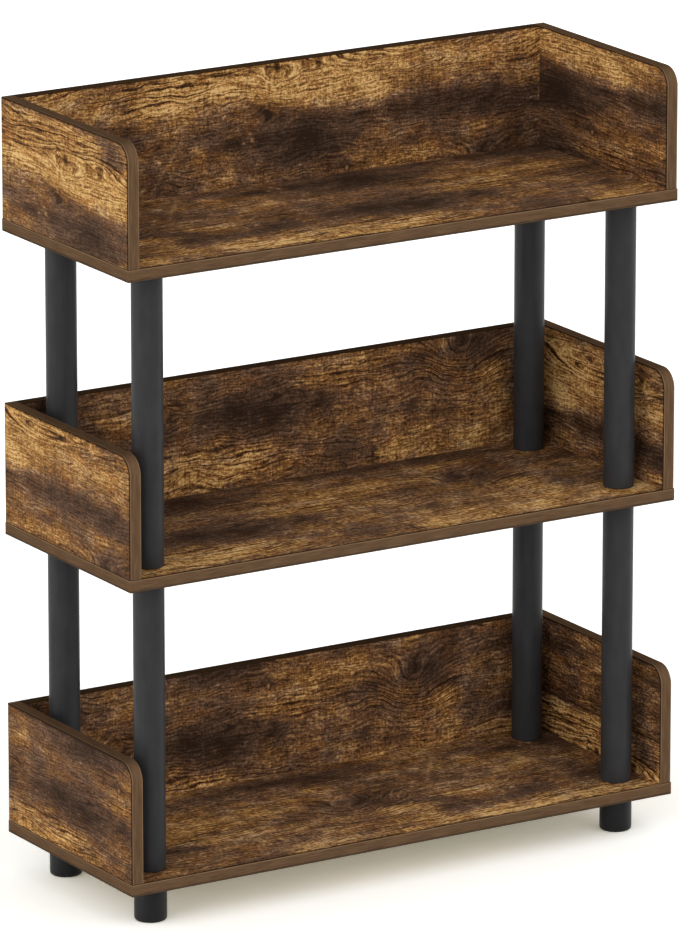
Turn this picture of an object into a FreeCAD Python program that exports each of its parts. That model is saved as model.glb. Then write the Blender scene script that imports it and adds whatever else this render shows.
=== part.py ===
import FreeCAD, Part
import math
import os

import Sketcher

# A free-standing display rack of three open trays on round tubes, in millimetres.
# The origin is on the floor under the middle of the rack. +X is to the right, +Y to the back, +Z up.

# Driving dimensions, each with a word that the sheet takes as its alias

DIMENSIONS = {
    # Boards and their edge band
    "board_length": 600.0,
    "board_depth": 233.0,
    "board_thickness": 12.0,
    "band_thickness": 1.0,
    "arris_land": 0.2,
    # Side and back panels
    "panel_thickness": 12.0,
    "panel_height": 116.0,
    "panel_inset": 0.7,
    "panel_corner_radius": 18.0,
    # Tubes
    "tube_diameter": 29.5,
    "tube_wall": 2.0,
    "tube_length": 281.5,
    "tube_end_land": 0.5,
    "tube_side_gap": 13.0,
    "tube_back_gap": 12.3,
    "tube_front_gap": 21.2,
    # Feet
    "foot_lip": 0.75,
    "foot_height": 37.5,
    "foot_edge_radius": 3.0,
    "foot_top_radius": 0.6,
    "foot_wall": 3.0,
    "foot_floor": 4.0,
    "foot_boss_diameter": 19.0,
    # Studs, plugs and inserts
    "stud_diameter": 12.0,
    "stud_chamfer": 1.2,
    "stud_reach": 16.0,
    "thread_gap": 0.1,
    "board_hole_gap": 0.5,
    "plug_gap": 0.1,
    "plug_chamfer": 1.0,
    "socket_spare": 8.0,
    "stud_plug_length": 20.0,
    "stud_end_gap": 0.6,
    "insert_diameter": 17.0,
    "insert_cover": 3.2,
    "insert_gap": 0.1,
    "insert_end_gap": 0.2,
    # Screws from the boards into the panels
    "screw_diameter": 3.5,
    "screw_head_diameter": 7.0,
    "screw_bite": 20.0,
    "screw_tip_length": 3.0,
    "screw_recess": 0.3,
    "screw_gap": 0.2,
    "screw_pilot_gap": 0.05,
    "side_screw_front": 30.0,
    "side_screw_back": 45.0,
    "back_screw_end": 70.0,
    # Dowels between the back panel and the side panels
    "dowel_diameter": 6.0,
    "dowel_cover": 4.0,
    "dowel_back_depth": 20.0,
    "dowel_chamfer": 0.6,
    "dowel_gap": 0.1,
    "dowel_end_gap": 0.4,
    "dowel_low": 32.0,
    "dowel_high": 84.0,
}

# Angles in degrees, and the distance at which two points count as one

COUNTERSINK_ANGLE = 90
RIGHT_ANGLE = 90
FULL_TURN = 360
COINCIDENT = 1e-6

TIERS = ("bottom", "middle", "top")
LEVELS = ("lower", "upper")
SIDES = ("left", "right")
ENDS = ("front", "rear")

doc = FreeCAD.newDocument("display_rack")
sheet = doc.addObject("Spreadsheet::Sheet", "Sizes")


# Sizes that know both their value and the formula that the model is bound to


class Size:
    """A size in mm, with the sheet formula that it is worked out by."""

    def __init__(self, formula, value):
        self.formula = formula
        self.value = value

    def __add__(self, other):
        return Size(f"({self.formula} + {other.formula})", self.value + other.value)

    def __sub__(self, other):
        return Size(f"({self.formula} - {other.formula})", self.value - other.value)

    def __mul__(self, count):
        return Size(f"({self.formula} * {count})", self.value * count)

    def __truediv__(self, count):
        return Size(f"({self.formula} / {count})", self.value / count)

    def __neg__(self):
        return Size(f"(0 - {self.formula})", -self.value)


ZERO = Size("0", 0.0)


class Sizes:
    """The driving dimensions, written to the sheet and kept here by name."""

    def __init__(self, dimensions):
        for row, (alias, value) in enumerate(dimensions.items(), start=1):
            sheet.set(f"A{row}", alias)
            sheet.set(f"B{row}", str(value))
            sheet.setAlias(f"B{row}", alias)
            setattr(self, alias, Size(f"{sheet.Name}.{alias}", value))


s = Sizes(DIMENSIONS)
doc.recompute()

# Sizes worked out from the driving ones

arris_radius = s.band_thickness - s.arris_land
core_corner_radius = s.panel_corner_radius - s.band_thickness
tube_radius = s.tube_diameter / 2
tube_bore_radius = tube_radius - s.tube_wall
tube_end_radius = s.tube_wall - s.tube_end_land
foot_radius = tube_radius + s.foot_lip
foot_boss_radius = s.foot_boss_diameter / 2
stud_radius = s.stud_diameter / 2
stud_hole_radius = stud_radius + s.board_hole_gap
socket_radius = stud_radius + s.thread_gap
plug_radius = tube_bore_radius - s.plug_gap
insert_radius = s.insert_diameter / 2
insert_hole_radius = insert_radius + s.insert_gap
insert_hole_depth = s.board_thickness - s.insert_cover
insert_length = insert_hole_depth - s.insert_end_gap
through_stud_length = s.board_thickness + s.stud_reach
top_stud_length = insert_length - s.stud_end_gap
socket_plug_length = s.stud_reach + s.socket_spare
side_panel_depth = s.board_depth - s.panel_inset
back_panel_length = s.board_length - s.panel_inset * 2 - s.panel_thickness * 2
screw_radius = s.screw_diameter / 2
screw_head_radius = s.screw_head_diameter / 2
screw_hole_diameter = s.screw_diameter + s.screw_gap * 2
screw_mouth_diameter = s.screw_head_diameter + s.screw_recess * 2 + s.screw_gap * 2
screw_pilot_radius = screw_radius + s.screw_pilot_gap
screw_pilot_depth = s.screw_bite + s.screw_gap
screw_head_height = screw_head_radius - screw_radius
screw_shank_length = s.board_thickness + s.screw_bite - s.screw_recess - screw_head_height - s.screw_tip_length
dowel_radius = s.dowel_diameter / 2
dowel_hole_radius = dowel_radius + s.dowel_gap
dowel_tip_radius = dowel_radius - s.dowel_chamfer
dowel_side_depth = s.panel_thickness - s.dowel_cover
dowel_shank_length = dowel_side_depth + s.dowel_back_depth - s.dowel_end_gap * 2 - s.dowel_chamfer * 2

# Heights of the boards' undersides, from the floor up

tier_pitch = s.board_thickness + s.tube_length
board_base = {
    "bottom": s.foot_height,
    "middle": s.foot_height + tier_pitch,
    "top": s.foot_height + tier_pitch * 2,
}
tube_base = {
    "lower": board_base["bottom"] + s.board_thickness,
    "upper": board_base["middle"] + s.board_thickness,
}

# Places on a board, measured from its front left corner

board_left = -(s.board_length / 2)
board_front = -(s.board_depth / 2)
tube_side = s.panel_inset + s.panel_thickness + s.tube_side_gap + tube_radius
tube_x = {"left": tube_side, "right": s.board_length - tube_side}
tube_y = {
    "front": s.tube_front_gap + tube_radius,
    "rear": s.board_depth - s.panel_thickness - s.tube_back_gap - tube_radius,
}
panel_centre = s.panel_inset + s.panel_thickness / 2
side_panel_x = {"left": s.panel_inset, "right": s.board_length - s.panel_inset - s.panel_thickness}
side_screw_x = {"left": panel_centre, "right": s.board_length - panel_centre}
back_screw_y = s.board_depth - s.panel_thickness / 2
side_screw_y = (s.side_screw_front, s.board_depth - s.side_screw_back)
back_screw_x = (s.back_screw_end, s.board_length / 2, s.board_length - s.back_screw_end)
screw_places = [(side_screw_x[side], y) for side in SIDES for y in side_screw_y]
screw_places += [(x, back_screw_y) for x in back_screw_x]
dowel_heights = (s.dowel_low, s.dowel_high)

nodes = []


# Modelling steps


def bind(item, name, size):
    """Ties a property of an object to the sheet."""
    item.setExpression(name, size.formula)


def place(item, x, y, z):
    """Ties an object's place to the sheet."""
    item.Placement = FreeCAD.Placement(FreeCAD.Vector(x.value, y.value, z.value), FreeCAD.Rotation())
    bind(item, ".Placement.Base.x", x)
    bind(item, ".Placement.Base.y", y)
    bind(item, ".Placement.Base.z", z)


def new_body(name, x=ZERO, y=ZERO, z=ZERO):
    """Makes a body, which becomes a node, with its own corner or foot at x, y, z."""
    body = doc.addObject("PartDesign::Body", name)
    body.Label = name
    place(body, x, y, z)
    nodes.append(body)
    return body


def new_sketch(body, name, role, offset=ZERO):
    """Makes a sketch on one of a body's own origin planes, offset along the plane's normal."""
    sketch = body.newObject("Sketcher::SketchObject", f"{body.Name}_{name}")
    plane = [item for item in body.Origin.OriginFeatures if item.Role == role][0]
    sketch.AttachmentSupport = [(plane, "")]
    sketch.MapMode = "FlatFace"
    sketch.AttachmentOffset = FreeCAD.Placement(FreeCAD.Vector(0, 0, offset.value), FreeCAD.Rotation())
    bind(sketch, ".AttachmentOffset.Base.z", offset)
    return sketch


def constrain(sketch, constraint, size):
    """Adds a constraint and ties it to the sheet."""
    index = sketch.addConstraint(constraint)
    name = f"size_{index}"
    sketch.renameConstraint(index, name)
    bind(sketch, f"Constraints.{name}", size)


def fix_point(sketch, geometry, point, x, y):
    """Holds a point of a sketch's geometry at x, y, where zero means on the sketch's axis."""
    if x is ZERO:
        sketch.addConstraint(Sketcher.Constraint("PointOnObject", geometry, point, -2))
    else:
        constrain(sketch, Sketcher.Constraint("DistanceX", -1, 1, geometry, point, x.value), x)
    if y is ZERO:
        sketch.addConstraint(Sketcher.Constraint("PointOnObject", geometry, point, -1))
    else:
        constrain(sketch, Sketcher.Constraint("DistanceY", -1, 1, geometry, point, y.value), y)


def draw_circle(sketch, x, y, radius):
    """Draws a circle with its centre and radius tied to the sheet."""
    centre = FreeCAD.Vector(x.value, y.value, 0)
    circle = sketch.addGeometry(Part.Circle(centre, FreeCAD.Vector(0, 0, 1), radius.value))
    fix_point(sketch, circle, 3, x, y)
    constrain(sketch, Sketcher.Constraint("Radius", circle, radius.value), radius)


def arc_centre(start, end, radius, left_turn):
    """Gives the centre of the short arc from start to end that turns left or right."""
    chord = end - start
    half = chord.Length / 2
    rise = math.sqrt(max(radius * radius - half * half, 0))
    left = FreeCAD.Vector(-chord.y, chord.x, 0).normalize()
    return (start + end) / 2 + left * (rise if left_turn else -rise)


def draw_outline(sketch, steps):
    """Draws a closed outline.

    Each step is the point that a line goes to, or that point with an arc's radius and True for
    a left turn. The first step starts from the last step's point.
    """
    points = [FreeCAD.Vector(step[0].value, step[1].value, 0) for step in steps]
    ends = []
    for index, step in enumerate(steps):
        start = points[index - 1]
        end = points[index]
        if len(step) == 2:
            geometry = sketch.addGeometry(Part.LineSegment(start, end))
            ends.append((geometry, 1, 2))
            continue
        radius = step[2]
        left_turn = step[3]
        centre = arc_centre(start, end, radius.value, left_turn)
        low, high = (start, end) if left_turn else (end, start)
        angles = [math.atan2(point.y - centre.y, point.x - centre.x) for point in (low, high)]
        circle = Part.Circle(centre, FreeCAD.Vector(0, 0, 1), radius.value)
        geometry = sketch.addGeometry(Part.ArcOfCircle(circle, angles[0], angles[1]))
        ends.append((geometry, 1, 2) if left_turn else (geometry, 2, 1))
    for index, step in enumerate(steps):
        geometry, _, finish = ends[index]
        following, start, _ = ends[(index + 1) % len(steps)]
        sketch.addConstraint(Sketcher.Constraint("Coincident", geometry, finish, following, start))
    for index, step in enumerate(steps):
        geometry, _, finish = ends[index]
        fix_point(sketch, geometry, finish, step[0], step[1])
    for index, step in enumerate(steps):
        if len(step) > 2:
            geometry = ends[index][0]
            constrain(sketch, Sketcher.Constraint("Radius", geometry, step[2].value), step[2])


def draw_rectangle(sketch, left, low, right, high):
    """Draws a rectangle between two corners."""
    draw_outline(sketch, [(left, low), (right, low), (right, high), (left, high)])


def add_pad(body, sketch, length):
    """Pads a sketch along its normal."""
    pad = body.newObject("PartDesign::Pad", f"{body.Name}_pad")
    pad.Profile = sketch
    bind(pad, "Length", length)
    doc.recompute()
    return pad


def add_revolution(body, sketch):
    """Turns a profile round the body's upright axis."""
    revolution = body.newObject("PartDesign::Revolution", f"{body.Name}_turned")
    revolution.Profile = sketch
    revolution.ReferenceAxis = (sketch, ["V_Axis"])
    revolution.Angle = FULL_TURN
    doc.recompute()
    return revolution


def check_cut(body, before, feature):
    """Stops if a cut took nothing away."""
    doc.recompute()
    if not body.Shape.Volume < before:
        raise RuntimeError(f"{feature.Name} cuts nothing")


def add_pocket(body, sketch, depth, along_normal):
    """Cuts a sketch into the body to a depth, along the sketch's normal or against it."""
    before = body.Shape.Volume
    pocket = body.newObject("PartDesign::Pocket", f"{sketch.Name}_cut")
    pocket.Profile = sketch
    pocket.Reversed = along_normal
    bind(pocket, "Length", depth)
    check_cut(body, before, pocket)
    return pocket


def add_fillet(body, base, radius, wanted):
    """Rounds the edges of a feature for which wanted is true."""
    names = []
    for index, edge in enumerate(base.Shape.Edges, start=1):
        if wanted(edge):
            names.append(f"Edge{index}")
    fillet = body.newObject("PartDesign::Fillet", f"{base.Name}_fillet")
    fillet.Base = (base, names)
    bind(fillet, "Radius", radius)
    doc.recompute()
    return fillet


def near(value, size):
    """Says whether a coordinate is at a size, within a rounding error."""
    return math.isclose(value, size.value, abs_tol=COINCIDENT)


def lies_on(edge, axis, size):
    """Says whether an edge lies in the plane across an axis, 0 to 2, at a size."""
    return all(near(vertex.Point[axis], size) for vertex in edge.Vertexes)


# Boards


def add_screw_holes(body):
    """Drills and countersinks a board from below for the screws into its panels."""
    sketch = new_sketch(body, "screw_holes", "XY_Plane")
    for x, y in screw_places:
        draw_circle(sketch, x, y, screw_hole_diameter / 2)
    doc.recompute()
    before = body.Shape.Volume
    hole = body.newObject("PartDesign::Hole", f"{body.Name}_screw_holes_drilled")
    hole.Profile = sketch
    doc.recompute()
    hole.ThreadType = "None"
    hole.DepthType = "ThroughAll"
    hole.HoleCutType = "Countersink"
    hole.HoleCutCountersinkAngle = COUNTERSINK_ANGLE
    hole.Reversed = True
    bind(hole, "Diameter", screw_hole_diameter)
    bind(hole, "HoleCutDiameter", screw_mouth_diameter)
    check_cut(body, before, hole)


def build_board(tier):
    """Builds a tier's board: the laminated core inside its edge band, with its holes."""
    body = new_body(f"{tier}_board", board_left, board_front, board_base[tier])
    plan = new_sketch(body, "plan", "XY_Plane")
    right = s.board_length - s.band_thickness
    back = s.board_depth - s.band_thickness
    draw_rectangle(plan, s.band_thickness, s.band_thickness, right, back)
    add_pad(body, plan, s.board_thickness)
    radius = insert_hole_radius if tier == "top" else stud_hole_radius
    depth = insert_hole_depth if tier == "top" else s.board_thickness
    holes = new_sketch(body, "tube_holes", "XY_Plane")
    for x in tube_x.values():
        for y in tube_y.values():
            draw_circle(holes, x, y, radius)
    add_pocket(body, holes, depth, along_normal=True)
    add_screw_holes(body)


def build_board_band(tier):
    """Builds the edge band round a board, with its outer edges eased."""
    body = new_body(f"{tier}_board_edge_band", board_left, board_front, board_base[tier])
    plan = new_sketch(body, "plan", "XY_Plane")
    right = s.board_length - s.band_thickness
    back = s.board_depth - s.band_thickness
    draw_rectangle(plan, ZERO, ZERO, s.board_length, s.board_depth)
    draw_rectangle(plan, s.band_thickness, s.band_thickness, right, back)
    ring = add_pad(body, plan, s.board_thickness)
    outline = ((0, ZERO), (0, s.board_length), (1, ZERO), (1, s.board_depth))
    add_fillet(body, ring, arris_radius, lambda edge: any(lies_on(edge, *plane) for plane in outline))


# Side panels


def side_panel_body(tier, side, name):
    """Starts a body at the lower front corner of a side panel, on its board."""
    x = board_left + side_panel_x[side]
    y = board_front + s.panel_inset
    return new_body(f"{tier}_{side}_{name}", x, y, board_base[tier] + s.board_thickness)


def build_side_panel(tier, side):
    """Builds a side panel's core, with its pilot holes and its holes for the dowels."""
    body = side_panel_body(tier, side, "side_panel")
    back = side_panel_depth - s.band_thickness
    top = s.panel_height - s.band_thickness
    profile = new_sketch(body, "profile", "YZ_Plane")
    corner_low = s.panel_height - s.panel_corner_radius
    draw_outline(
        profile,
        [
            (back, ZERO),
            (back, top),
            (s.panel_corner_radius, top),
            (s.band_thickness, corner_low, core_corner_radius, True),
            (s.band_thickness, ZERO),
        ],
    )
    add_pad(body, profile, s.panel_thickness)
    pilots = new_sketch(body, "pilot_holes", "XY_Plane")
    for y in side_screw_y:
        draw_circle(pilots, s.panel_thickness / 2, y - s.panel_inset, screw_pilot_radius)
    add_pocket(body, pilots, screw_pilot_depth, along_normal=True)
    inner_face = s.panel_thickness if side == "left" else ZERO
    dowel_holes = new_sketch(body, "dowel_holes", "YZ_Plane", inner_face)
    for z in dowel_heights:
        draw_circle(dowel_holes, side_panel_depth - s.panel_thickness / 2, z, dowel_hole_radius)
    add_pocket(body, dowel_holes, dowel_side_depth, along_normal=side == "right")


def build_side_band(tier, side):
    """Builds the band over a side panel's front, rounded corner, top and back."""
    body = side_panel_body(tier, side, "side_edge_band")
    back = side_panel_depth - s.band_thickness
    top = s.panel_height - s.band_thickness
    corner_low = s.panel_height - s.panel_corner_radius
    profile = new_sketch(body, "profile", "YZ_Plane")
    draw_outline(
        profile,
        [
            (ZERO, ZERO),
            (ZERO, corner_low),
            (s.panel_corner_radius, s.panel_height, s.panel_corner_radius, False),
            (side_panel_depth, s.panel_height),
            (side_panel_depth, ZERO),
            (back, ZERO),
            (back, top),
            (s.panel_corner_radius, top),
            (s.band_thickness, corner_low, core_corner_radius, True),
            (s.band_thickness, ZERO),
        ],
    )
    strip = add_pad(body, profile, s.panel_thickness)
    faces = (ZERO, s.panel_thickness)
    outline = ((1, ZERO), (1, side_panel_depth), (2, s.panel_height))

    def outer(edge):
        if not any(lies_on(edge, 0, face) for face in faces):
            return False
        if isinstance(edge.Curve, Part.Circle):
            return near(edge.Curve.Radius, s.panel_corner_radius)
        return any(lies_on(edge, *plane) for plane in outline)

    add_fillet(body, strip, arris_radius, outer)


# Back panels


def back_panel_body(tier, name, height=ZERO):
    """Starts a body at the lower front left corner of a back panel, or at a height up it."""
    x = board_left + s.panel_inset + s.panel_thickness
    y = board_front + s.board_depth - s.panel_thickness
    return new_body(f"{tier}_{name}", x, y, board_base[tier] + s.board_thickness + height)


def build_back_panel(tier):
    """Builds a back panel's core, with its pilot holes and its holes for the dowels."""
    body = back_panel_body(tier, "back_panel")
    plan = new_sketch(body, "plan", "XY_Plane")
    draw_rectangle(plan, ZERO, ZERO, back_panel_length, s.panel_thickness)
    add_pad(body, plan, s.panel_height - s.band_thickness)
    pilots = new_sketch(body, "pilot_holes", "XY_Plane")
    for x in back_screw_x:
        local_x = x - s.panel_inset - s.panel_thickness
        draw_circle(pilots, local_x, s.panel_thickness / 2, screw_pilot_radius)
    add_pocket(body, pilots, screw_pilot_depth, along_normal=True)
    for side, end in (("left", ZERO), ("right", back_panel_length)):
        dowel_holes = new_sketch(body, f"{side}_dowel_holes", "YZ_Plane", end)
        for z in dowel_heights:
            draw_circle(dowel_holes, s.panel_thickness / 2, z, dowel_hole_radius)
        add_pocket(body, dowel_holes, s.dowel_back_depth, along_normal=side == "left")


def build_back_band(tier):
    """Builds the band along a back panel's top, with its two long upper edges eased."""
    height = s.panel_height - s.band_thickness
    body = back_panel_body(tier, "back_edge_band", height)
    plan = new_sketch(body, "plan", "XY_Plane")
    draw_rectangle(plan, ZERO, ZERO, back_panel_length, s.panel_thickness)
    strip = add_pad(body, plan, s.band_thickness)

    def long_and_upper(edge):
        along = lies_on(edge, 1, ZERO) or lies_on(edge, 1, s.panel_thickness)
        return along and lies_on(edge, 2, s.band_thickness)

    add_fillet(body, strip, arris_radius, long_and_upper)


# Tubes, their plugs and the feet


def column_body(end, side, name, z):
    """Starts a body on a tube's axis, at a height."""
    return new_body(name, board_left + tube_x[side], board_front + tube_y[end], z)


def build_tube(level, end, side):
    """Builds a tube, with the outer edge of both ends rounded."""
    body = column_body(end, side, f"{level}_{end}_{side}_tube", tube_base[level])
    section = new_sketch(body, "section", "XY_Plane")
    draw_circle(section, ZERO, ZERO, tube_radius)
    draw_circle(section, ZERO, ZERO, tube_bore_radius)
    pipe = add_pad(body, section, s.tube_length)

    def outer_rim(edge):
        return lies_on(edge, 2, ZERO) or lies_on(edge, 2, s.tube_length)

    def outer_circle(edge):
        return outer_rim(edge) and near(edge.Curve.Radius, tube_radius)

    add_fillet(body, pipe, tube_end_radius, outer_circle)


def build_socket_plug(level, end, side):
    """Builds the threaded socket pressed into a tube's lower end, its thread as a plain bore."""
    body = column_body(end, side, f"{level}_{end}_{side}_socket_plug", tube_base[level])
    profile = new_sketch(body, "profile", "XZ_Plane")
    draw_outline(
        profile,
        [
            (plug_radius, ZERO),
            (plug_radius, socket_plug_length - s.plug_chamfer),
            (plug_radius - s.plug_chamfer, socket_plug_length),
            (socket_radius, socket_plug_length),
            (socket_radius, ZERO),
        ],
    )
    add_revolution(body, profile)


def build_stud_plug(level, end, side):
    """Builds the stud plug pressed into a tube's upper end, its thread as a plain shank."""
    stud_length = through_stud_length if level == "lower" else top_stud_length
    base = tube_base[level] + s.tube_length - s.stud_plug_length
    tip = s.stud_plug_length + stud_length
    body = column_body(end, side, f"{level}_{end}_{side}_stud_plug", base)
    profile = new_sketch(body, "profile", "XZ_Plane")
    draw_outline(
        profile,
        [
            (plug_radius - s.plug_chamfer, ZERO),
            (plug_radius, s.plug_chamfer),
            (plug_radius, s.stud_plug_length),
            (stud_radius, s.stud_plug_length),
            (stud_radius, tip - s.stud_chamfer),
            (stud_radius - s.stud_chamfer, tip),
            (ZERO, tip),
            (ZERO, ZERO),
        ],
    )
    add_revolution(body, profile)


def build_foot(end, side):
    """Builds a foot: a cup with a rounded lower edge, and a boss that carries the stud."""
    body = column_body(end, side, f"{end}_{side}_foot", ZERO)
    inner_radius = foot_radius - s.foot_wall
    tip = s.foot_height + through_stud_length
    profile = new_sketch(body, "profile", "XZ_Plane")
    draw_outline(
        profile,
        [
            (foot_radius - s.foot_edge_radius, ZERO),
            (foot_radius, s.foot_edge_radius, s.foot_edge_radius, True),
            (foot_radius, s.foot_height - s.foot_top_radius),
            (foot_radius - s.foot_top_radius, s.foot_height, s.foot_top_radius, True),
            (inner_radius, s.foot_height),
            (inner_radius, s.foot_floor),
            (foot_boss_radius, s.foot_floor),
            (foot_boss_radius, s.foot_height),
            (stud_radius, s.foot_height),
            (stud_radius, tip - s.stud_chamfer),
            (stud_radius - s.stud_chamfer, tip),
            (ZERO, tip),
            (ZERO, ZERO),
        ],
    )
    add_revolution(body, profile)


# Inserts, screws and dowels, where pieces alike share a node


def add_stage(name, low_radius, high_radius, length, z):
    """Makes one stage of a turned piece: a cylinder, or a cone where its radii differ."""
    if low_radius is high_radius:
        stage = doc.addObject("Part::Cylinder", name)
        bind(stage, "Radius", low_radius)
    else:
        stage = doc.addObject("Part::Cone", name)
        bind(stage, "Radius1", low_radius)
        bind(stage, "Radius2", high_radius)
    bind(stage, "Height", length)
    place(stage, ZERO, ZERO, z)
    return stage


def add_turned(name, stages):
    """Joins stages, each two radii and a length, end to end up the Z axis."""
    pieces = []
    z = ZERO
    for index, (low_radius, high_radius, length) in enumerate(stages):
        pieces.append(add_stage(f"{name}_stage_{index}", low_radius, high_radius, length, z))
        z = z + length
    turned = doc.addObject("Part::MultiFuse", name)
    turned.Shapes = pieces
    return turned


def add_group(name, pieces):
    """Makes a node of pieces alike, each still a solid of its own."""
    group = doc.addObject("Part::Compound", name)
    group.Label = name
    group.Links = pieces
    nodes.append(group)


def build_inserts():
    """Builds the threaded inserts in the top board's underside, one for each upper tube."""
    pieces = []
    for end in ENDS:
        for side in SIDES:
            name = f"{end}_{side}_insert"
            outside = add_stage(f"{name}_outside", insert_radius, insert_radius, insert_length, ZERO)
            bore = add_stage(f"{name}_bore", socket_radius, socket_radius, insert_length, ZERO)
            insert = doc.addObject("Part::Cut", name)
            insert.Base = outside
            insert.Tool = bore
            place(insert, board_left + tube_x[side], board_front + tube_y[end], board_base["top"])
            pieces.append(insert)
    add_group("top_board_thread_inserts", pieces)


def build_screws(tier):
    """Builds a tray's countersunk screws, their threads as plain shanks."""
    pieces = []
    for index, (x, y) in enumerate(screw_places):
        stages = [
            (screw_head_radius, screw_radius, screw_head_height),
            (screw_radius, screw_radius, screw_shank_length),
            (screw_radius, ZERO, s.screw_tip_length),
        ]
        screw = add_turned(f"{tier}_screw_{index}", stages)
        place(screw, board_left + x, board_front + y, board_base[tier] + s.screw_recess)
        pieces.append(screw)
    add_group(f"{tier}_tray_screws", pieces)


def build_dowels(tier):
    """Builds the dowels that lie along X between a tray's back panel and its side panels."""
    pieces = []
    joint_x = s.panel_inset + s.panel_thickness
    starts = {
        "left": joint_x - dowel_side_depth + s.dowel_end_gap,
        "right": s.board_length - joint_x - s.dowel_back_depth + s.dowel_end_gap,
    }
    for side in SIDES:
        for index, height in enumerate(dowel_heights):
            stages = [
                (dowel_tip_radius, dowel_radius, s.dowel_chamfer),
                (dowel_radius, dowel_radius, dowel_shank_length),
                (dowel_radius, dowel_tip_radius, s.dowel_chamfer),
            ]
            dowel = add_turned(f"{tier}_{side}_dowel_{index}", stages)
            z = board_base[tier] + s.board_thickness + height
            place(dowel, board_left + starts[side], board_front + back_screw_y, z)
            dowel.Placement.Rotation = FreeCAD.Rotation(FreeCAD.Vector(0, 1, 0), RIGHT_ANGLE)
            pieces.append(dowel)
    add_group(f"{tier}_tray_dowels", pieces)


# The whole rack, checked and written


def build_rack():
    """Builds every piece."""
    for tier in TIERS:
        build_board(tier)
        build_board_band(tier)
        for side in SIDES:
            build_side_panel(tier, side)
            build_side_band(tier, side)
        build_back_panel(tier)
        build_back_band(tier)
        build_screws(tier)
        build_dowels(tier)
    for end in ENDS:
        for side in SIDES:
            build_foot(end, side)
            for level in LEVELS:
                build_tube(level, end, side)
                build_socket_plug(level, end, side)
                build_stud_plug(level, end, side)
    build_inserts()
    doc.recompute()


def check_rack():
    """Stops if any object failed, or any piece is missing, invalid or empty."""
    for item in doc.Objects:
        if "Invalid" in item.State or "Error" in item.State:
            raise RuntimeError(f"{item.Label} failed: {item.State}")
    for node in nodes:
        if node.Shape.isNull() or not node.Shape.isValid():
            raise RuntimeError(f"{node.Label} has no valid shape")
        if not node.Shape.Solids:
            raise RuntimeError(f"{node.Label} holds no solid")


def write_rack():
    """Writes each node to its own file."""
    os.makedirs("parts", exist_ok=True)
    for node in nodes:
        node.Shape.exportStep(f"parts/{node.Label}.step")


build_rack()
check_rack()
write_rack()
solids = sum(len(node.Shape.Solids) for node in nodes)
print(f"{len(nodes)} nodes, {solids} solids")
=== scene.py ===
"""Display rack for Blender: three open trays in a rustic wood print, on black tubes and short feet.

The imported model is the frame. Its boards and panels stay and get their printed faces, and its hidden plugs,
screws, inserts and dowels stay and get a finish. The edge bands, tubes and feet are made again here as smooth
surfaces on the frame's own sizes. All lengths are in metres unless a name or a comment says millimetres.
Fields and arguments give angles in degrees.
"""
import logging
import math
from dataclasses import dataclass
from enum import Enum
from typing import Iterable, Sequence

import bmesh
import bpy
import numpy as np
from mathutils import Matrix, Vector


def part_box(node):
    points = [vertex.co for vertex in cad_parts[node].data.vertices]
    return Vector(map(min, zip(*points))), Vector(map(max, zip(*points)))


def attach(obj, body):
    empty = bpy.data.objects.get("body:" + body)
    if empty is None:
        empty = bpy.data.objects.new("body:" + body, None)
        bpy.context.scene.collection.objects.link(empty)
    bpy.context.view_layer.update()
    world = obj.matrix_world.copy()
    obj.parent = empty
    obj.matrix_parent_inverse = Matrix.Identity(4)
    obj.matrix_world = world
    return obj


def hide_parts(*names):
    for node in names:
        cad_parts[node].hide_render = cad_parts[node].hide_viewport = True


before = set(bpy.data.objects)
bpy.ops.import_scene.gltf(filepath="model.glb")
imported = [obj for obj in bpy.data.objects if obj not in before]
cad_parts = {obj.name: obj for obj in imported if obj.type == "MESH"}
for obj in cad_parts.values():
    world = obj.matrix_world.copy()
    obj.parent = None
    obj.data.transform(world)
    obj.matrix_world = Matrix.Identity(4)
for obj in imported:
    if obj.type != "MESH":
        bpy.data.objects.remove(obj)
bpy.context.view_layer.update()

log = logging.getLogger("display_rack")

MM = 0.001
FULL_TURN = 2 * math.pi
BODY = "root"

Colour = tuple[float, float, float, float]


def srgb(red: float, green: float, blue: float) -> Colour:
    """Turns a screen colour of 0 to 255 into the linear colour that a shader takes.

    This is the standard curve of screens: a straight line with a slope of 1 / 12.92 for the darkest values,
    and above it the value plus 0.055, over 1.055, to the power of 2.4.

    Args:
        red: Red, 0 to 255.
        green: Green, 0 to 255.
        blue: Blue, 0 to 255.

    Returns:
        The linear colour with an alpha of 1.
    """
    screen = np.array([red, green, blue]) / 255
    linear = np.where(screen <= 0.04045, screen / 12.92, ((screen + 0.055) / 1.055) ** 2.4)
    return (*(float(value) for value in linear), 1.0)


class Tier(Enum):
    """The three trays, from the floor up."""

    BOTTOM = "bottom"
    MIDDLE = "middle"
    TOP = "top"


class Hand(Enum):
    """The rack's two ends, as seen from the front."""

    LEFT = "left"
    RIGHT = "right"


class End(Enum):
    """The two rows of tubes."""

    FRONT = "front"
    REAR = "rear"


class Level(Enum):
    """The two storeys of tubes, below and above the middle tray."""

    LOWER = "lower"
    UPPER = "upper"


class Lie(Enum):
    """How a printed face lies, which settles the axes that the print runs along and across."""

    SIDE = "side"
    BACK = "back"
    FLOOR = "floor"


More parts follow.
